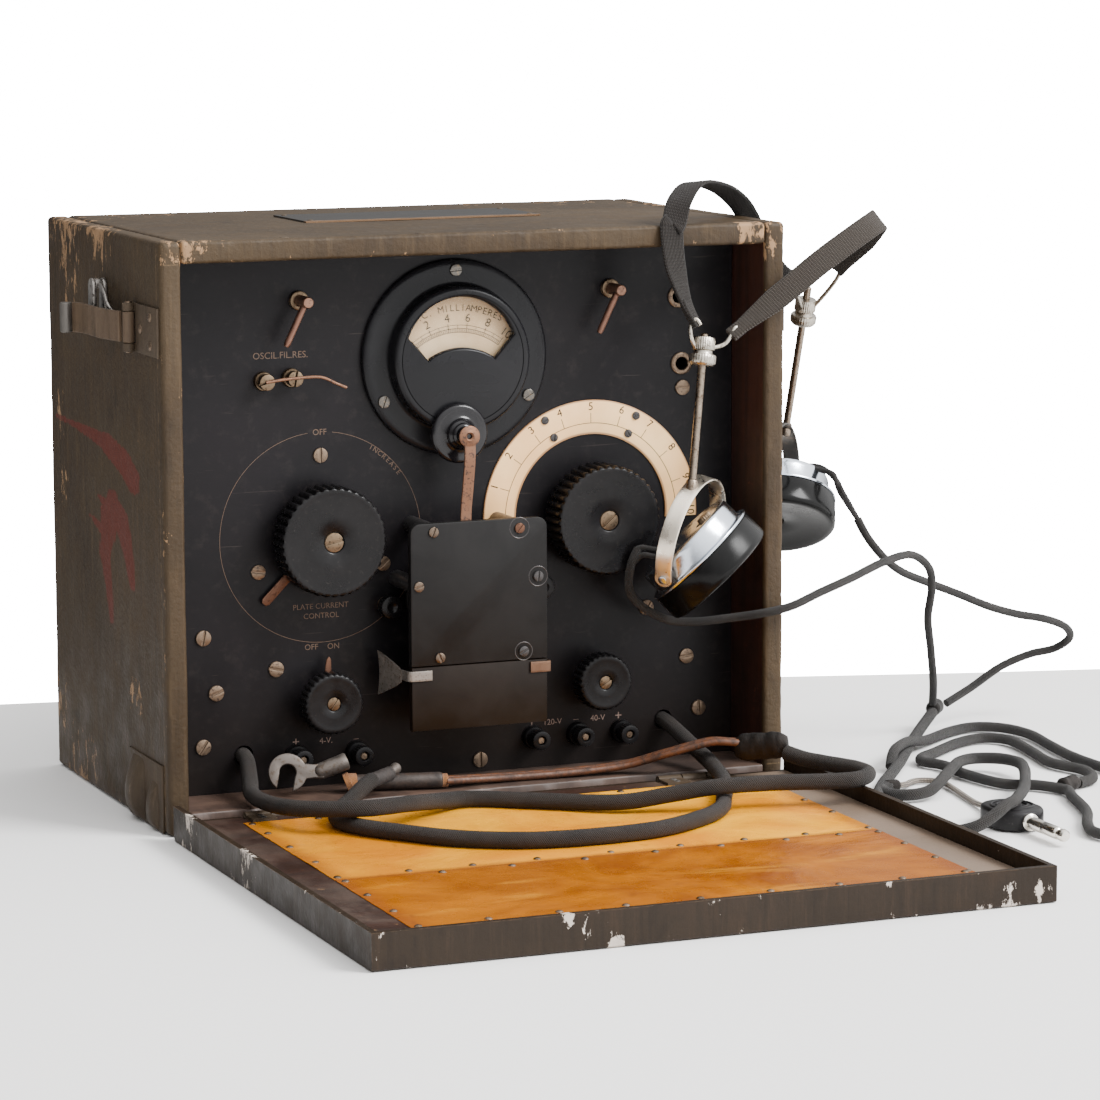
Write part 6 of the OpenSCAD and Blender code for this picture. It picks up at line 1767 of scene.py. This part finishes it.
EARS = [dict(c=(109.2, -8, 128.7), cup=(-142.2, 25.3, -142.9), yoke=(-14.1, 25.3, -142.9), apex=(102.6, -23.8, 159.8),
             rod=(0, 11.5, 41.7), length=78, side=-1),
        dict(c=(202.9, 90, 139.5), cup=(-171.3, -33.9, -129.8), yoke=(0, -33.9, -129.8), apex=(215.6, 105.3, 168.9),
             rod=(0, 16.7, -86), length=83, side=1)]
swivels = Build()
for e in EARS:
    m = Matrix.Translation(at(*e["apex"])) @ turn_matrix(e["rod"]).to_4x4() @ Matrix.Scale(MM, 4) @ \
        Matrix.Translation((0, 0, 66))
    swivels.add(fluted([(2.1, -4, 0), (5.6, -4, 0), (6.4, -3.2, 0), (6.9, -2.4, 1), (7, 0.6, 1), (6.5, 1.4, 0),
                        (5.2, 1.7, 0),
                        (4.9, 2.2, 0), (4.9, 3.4, 0), (5.7, 3.9, 1), (5.8, 9.4, 1), (5.3, 10.1, 0), (3.6, 10.4, 0),
                        (2.1, 10.4, 0),
                        (2.1, -4, 0)], 30, 0.25, 4), m, 0)
for h in HOOKS:
    swivels.add(hose(even(smooth_line(h, 8), 0.7), lambda i, a, r: 1.1, 14), FLAT, 0)
mat_swivel = simple_metal("dull_nickel", (0.42, 0.385, 0.33), 0.3, 0.25, 1.0, (0.14, 0.11, 0.08), 260)
swivels.make("rod_swivels", [mat_swivel], "case", "nickel", "band_swivels", 40)

# One nickel given twice: the over-bright copy for yoke one is a painted highlight, and the dark copy for yoke two is
# painted shade.
mat_yoke_painted_lit = simple_metal("nickel_painted_lit_copy", (1.0, 0.86, 0.72), 0.3, 0.08, 1.0, None, 150)
mat_yoke_painted_shade = simple_metal("shaded_nickel", (0.12, 0.11, 0.10), 0.35, 0.15, 1.0, (0.16, 0.13, 0.11), 150)
mat_slide = simple_metal("worn_rod", (0.22, 0.175, 0.135), 0.3, 0.3, 1.0, (0.09, 0.06, 0.04), 260)
mat_cup = simple_metal("bright_nickel", (0.56, 0.60, 0.66), 0.2, 0.12, 1.0, None, 80)
mat_cap = plastic("cap_moulding", srgb(9, 9, 9), 0.22, 0.3, gloss=0.14)
for i, e in enumerate(EARS):
    n = i + 1
    word = ("one", "two")[i]
    ym = Matrix.Translation(at(*e["c"])) @ turn_matrix(e["yoke"]).to_4x4() @ Matrix.Scale(MM, 4)
    b = Build()
    r, up = 31.5, 4.6
    arc = [Vector((-r, 0, -1)), Vector((-r, 0, 2))] + [Vector((-r * math.cos(math.radians(a)), 0,
                                                               up + r * math.sin(math.radians(a))))
                                                      for a in range(0, 181, 4)] + [Vector((r, 0, 2)),
                                                                                    Vector((r, 0, -1))]
    b.add(ribbon(arc, [Vector((0, 1, 0))] * len(arc), 9, 1.2), ym, 0)
    for s in (-1, 1):
        px = Matrix.Translation(Vector((s * 30.95, 0, 0))) @ Matrix.Rotation(math.radians(90 * s), 4, "Y")
        b.add(turned([(1.35, 0), (4.3, 0), (4.6, 0.3), (4.6, 0.9), (4.3, 1.2), (1.35, 1.2), (1.35, 0)], 36), ym @ px, 0)
    rm = Matrix.Translation(at(*e["apex"])) @ turn_matrix(e["rod"]).to_4x4() @ Matrix.Scale(MM, 4)
    L = e["length"]
    b.add(turned([(0, -2.4), (2.2, -2.3), (2.9, -1.6), (3.0, 3.8), (2.6, 4.5), (2.05, 4.9), (2.0, 6), (2.0, L - 2),
                  (1.9, L - 0.4), (1.2, L + 0.2), (0, L + 0.4)], 32), rm, 1)
    b.make(f"yoke_{n}_fork", [mat_yoke_painted_lit if n == 1 else mat_yoke_painted_shade, mat_slide], f"yoke_{word}", "nickel",
           f"yoke_{n}", 40)

    cm = Matrix.Translation(at(*e["c"])) @ turn_matrix(e["cup"]).to_4x4() @ Matrix.Scale(MM, 4)
    b = Build()
    b.add(turned([(0, -5.7), (10, -5.8), (25.6, -5.8), (26.8, -5.6), (27.6, -5.0), (27.95, -4.0), (28.0, -2.5),
                  (28.0, 4.6),
                  (28.3, 5.3), (30.8, 5.5), (31.6, 5.8), (31.75, 6.3), (31.5, 6.9), (30.6, 7.1)], 96), cm, 0)
    b.add(turned([(30.6, 7.1), (31.2, 7.3), (31.5, 7.8), (31.5, 18.4), (31.3, 20.4), (30.6, 21.3), (29.4, 21.9),
                  (27.6, 21.8),
                  (24.2, 20.6), (14, 19.4), (5.2, 18.7), (4.2, 18.2), (4.0, 17.2), (4.0, 12.6), (0, 12.6)], 96), cm, 1)
    for s in (-1, 1):
        px = Matrix.Rotation(math.radians(90 * s), 4, "Y")
        b.add(turned([(1.28, 27.6), (1.28, 32.3), (2.3, 32.4), (2.2, 33.0), (1.2, 33.4), (0, 33.4)], 24), cm @ px, 0)
    tm = cm @ Matrix.Translation((0, e["side"] * 20, -4.5)) @ Matrix.Rotation(math.pi, 4, "X")
    b.add(fluted([(2, 0, 0), (3.6, 0.1, 0.5), (4.0, 0.6, 1), (4.0, 2.9, 1), (3.6, 3.4, 0.5), (2.6, 3.6, 0),
                  (0, 3.5, 0)], 18, 0.4, 6),
          tm, 2)
    b.add(turned([(4.2, 0.3), (4.9, 0.2), (5.1, -0.2)], 32), tm, 2)
    for k in range(3):
        a = math.radians(40 + 120 * k)
        b.add(turned([(0, 0.5), (1.3, 0.45), (1.9, 0.1), (1.9, -0.3), (0, -0.3)], 20),
              cm @ Matrix.Translation((17 * math.cos(a), 17 * math.sin(a), -5.8)) @ Matrix.Rotation(math.pi, 4, "X"), 2)
    b.make(f"earphone_{n}_shell", [mat_cup, mat_cap, mat_brass], f"earphone_{word}", "nickel", f"earpiece_{n}", 40)


def in_cup(e, x, y, z):
    v = turn_matrix(e["cup"]) @ Vector((x, y, z))
    return tuple(Vector(e["c"]) + v)


E2 = EARS[1]
a0, b0 = in_cup(E2, 4, 8, -6.4), in_cup(E2, 9, 10, -6.2)
strand_a = [a0, in_cup(E2, 6, -4, -8.5), in_cup(E2, 8, -17, -8.5), in_cup(E2, 11, -27, -5), in_cup(E2, 13, -35, 4),
            in_cup(E2, 15.5, -38.5, 12), BRANCH_2[0], BRANCH_2[1]]
strand_b = [b0, in_cup(E2, 11, -2, -7), in_cup(E2, 13, -16, -6.6), in_cup(E2, 13, -27, -2.5),
            in_cup(E2, 16.5, -34.5, 3),
            in_cup(E2, 14.6, -37.5, 12.5), BRANCH_2[0], BRANCH_2[1]]
E1 = EARS[0]
strand_c = [in_cup(E1, 2, 4, -7), in_cup(E1, 4, 14, -9), BRANCH_1[0], BRANCH_1[1]]
strand_d = [in_cup(E1, 8, 0, -6.4), in_cup(E1, 10, 12, -7.6), in_cup(E1, 9.4, 20, -13), BRANCH_1[1]]
for nm, strands, word in (("earphone_2_strands", (strand_a, strand_b), "yoke_two"),
                          ("earphone_1_strands", (strand_c, strand_d), "yoke_one")):
    b = Build()
    for s in strands:
        b.add(hose(even(smooth_line(s, 8), 0.9), lambda i, a, r: 1.45, 12), FLAT, 0)
    b.make(nm, mat_cord, word, "cord_cloth", (), 80)


# ---------------------------------------------------------------- leads taken off their bodies, and the picture's surroundings
FOLDING = ("left_battery_cable", "right_battery_cable", "rubber_wire_a", "rubber_wire_b", "tape_joint", "fork_lug",
           "fork_sleeve", "string_binding", "ring_lug")
for piece in FOLDING:
    lead = bpy.data.objects[piece]
    if "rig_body" in lead:
        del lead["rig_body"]
    lead.parent = None
    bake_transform(lead)


def make_floor():
    edge = [(-1900, 640), (-145.5, 380.4), (-60, 366), (60, 342), (180, 316), (300, 283), (400.3, 252.8), (481.7, 232),
            (2300, -200)]
    line = [tuple(at(x, y, 0)) for x, y in edge]
    verts = line + [tuple(at(2300, -2600, 0)), tuple(at(-1900, -2600, 0))]
    me = bpy.data.meshes.new("studio_table")
    me.from_pydata([(x, y, -0.0004) for x, y, z in verts] + [(x, y, -0.03) for x, y, z in line], [],
                   [list(range(len(verts)))[::-1]] +
                   [[i, i + 1, len(verts) + i + 1, len(verts) + i] for i in range(len(line) - 1)])
    k = Look("pale_table")
    n = k.noise(900, 3, 0.6)
    k.set(base_color=k.mix(n, (0.80, 0.79, 0.78), (0.86, 0.85, 0.84)), roughness=0.75, specular_ior_level=0.2)
    me.materials.append(k.mat)
    ob = bpy.data.objects.new("studio_table", me)
    bpy.context.scene.collection.objects.link(ob)


make_floor()

def make_world():
    """Soft light, strongest from the upper right in front; the backdrop itself is plain white."""
    world = bpy.data.worlds.new("studio")
    world.use_nodes = True
    bpy.context.scene.world = world
    tree = world.node_tree
    back = tree.nodes["Background"]
    back.inputs[0].default_value = (1, 1, 1, 1)
    way = tree.nodes.new("ShaderNodeTexCoord")
    dot = tree.nodes.new("ShaderNodeVectorMath")
    dot.operation = "DOT_PRODUCT"
    dot.inputs[1].default_value = Vector((0.55, -0.5, 0.67)).normalized()
    tree.links.new(way.outputs["Generated"], dot.inputs[0])
    span = tree.nodes.new("ShaderNodeMapRange")
    span.interpolation_type = "SMOOTHSTEP"
    for key, value in (("From Min", -0.2), ("From Max", 1.0), ("To Min", 0.3), ("To Max", 3.2)):
        span.inputs[key].default_value = value
    tree.links.new(dot.outputs["Value"], span.inputs["Value"])
    seen = tree.nodes.new("ShaderNodeLightPath")
    pick = tree.nodes.new("ShaderNodeMix")
    pick.data_type = "FLOAT"
    tree.links.new(seen.outputs["Is Camera Ray"], pick.inputs[0])
    tree.links.new(span.outputs["Result"], pick.inputs[2])
    pick.inputs[3].default_value = 22.0
    tree.links.new(pick.outputs[0], back.inputs[1])


def softbox(name, place, target, size, power, tone=(1, 1, 1)):
    data = bpy.data.lights.new(name, "AREA")
    data.shape = "RECTANGLE"
    data.size, data.size_y = size
    data.energy = power
    data.color = tone
    ob = bpy.data.objects.new(name, data)
    bpy.context.scene.collection.objects.link(ob)
    ob.location = place
    ob.rotation_euler = (Vector(target) - Vector(place)).to_track_quat("-Z", "Y").to_euler()


make_world()
softbox("key_softbox", (1.5, -1.6, 1.9), (0.1, -0.05, 0.1), (1.1, 1.1), 150)
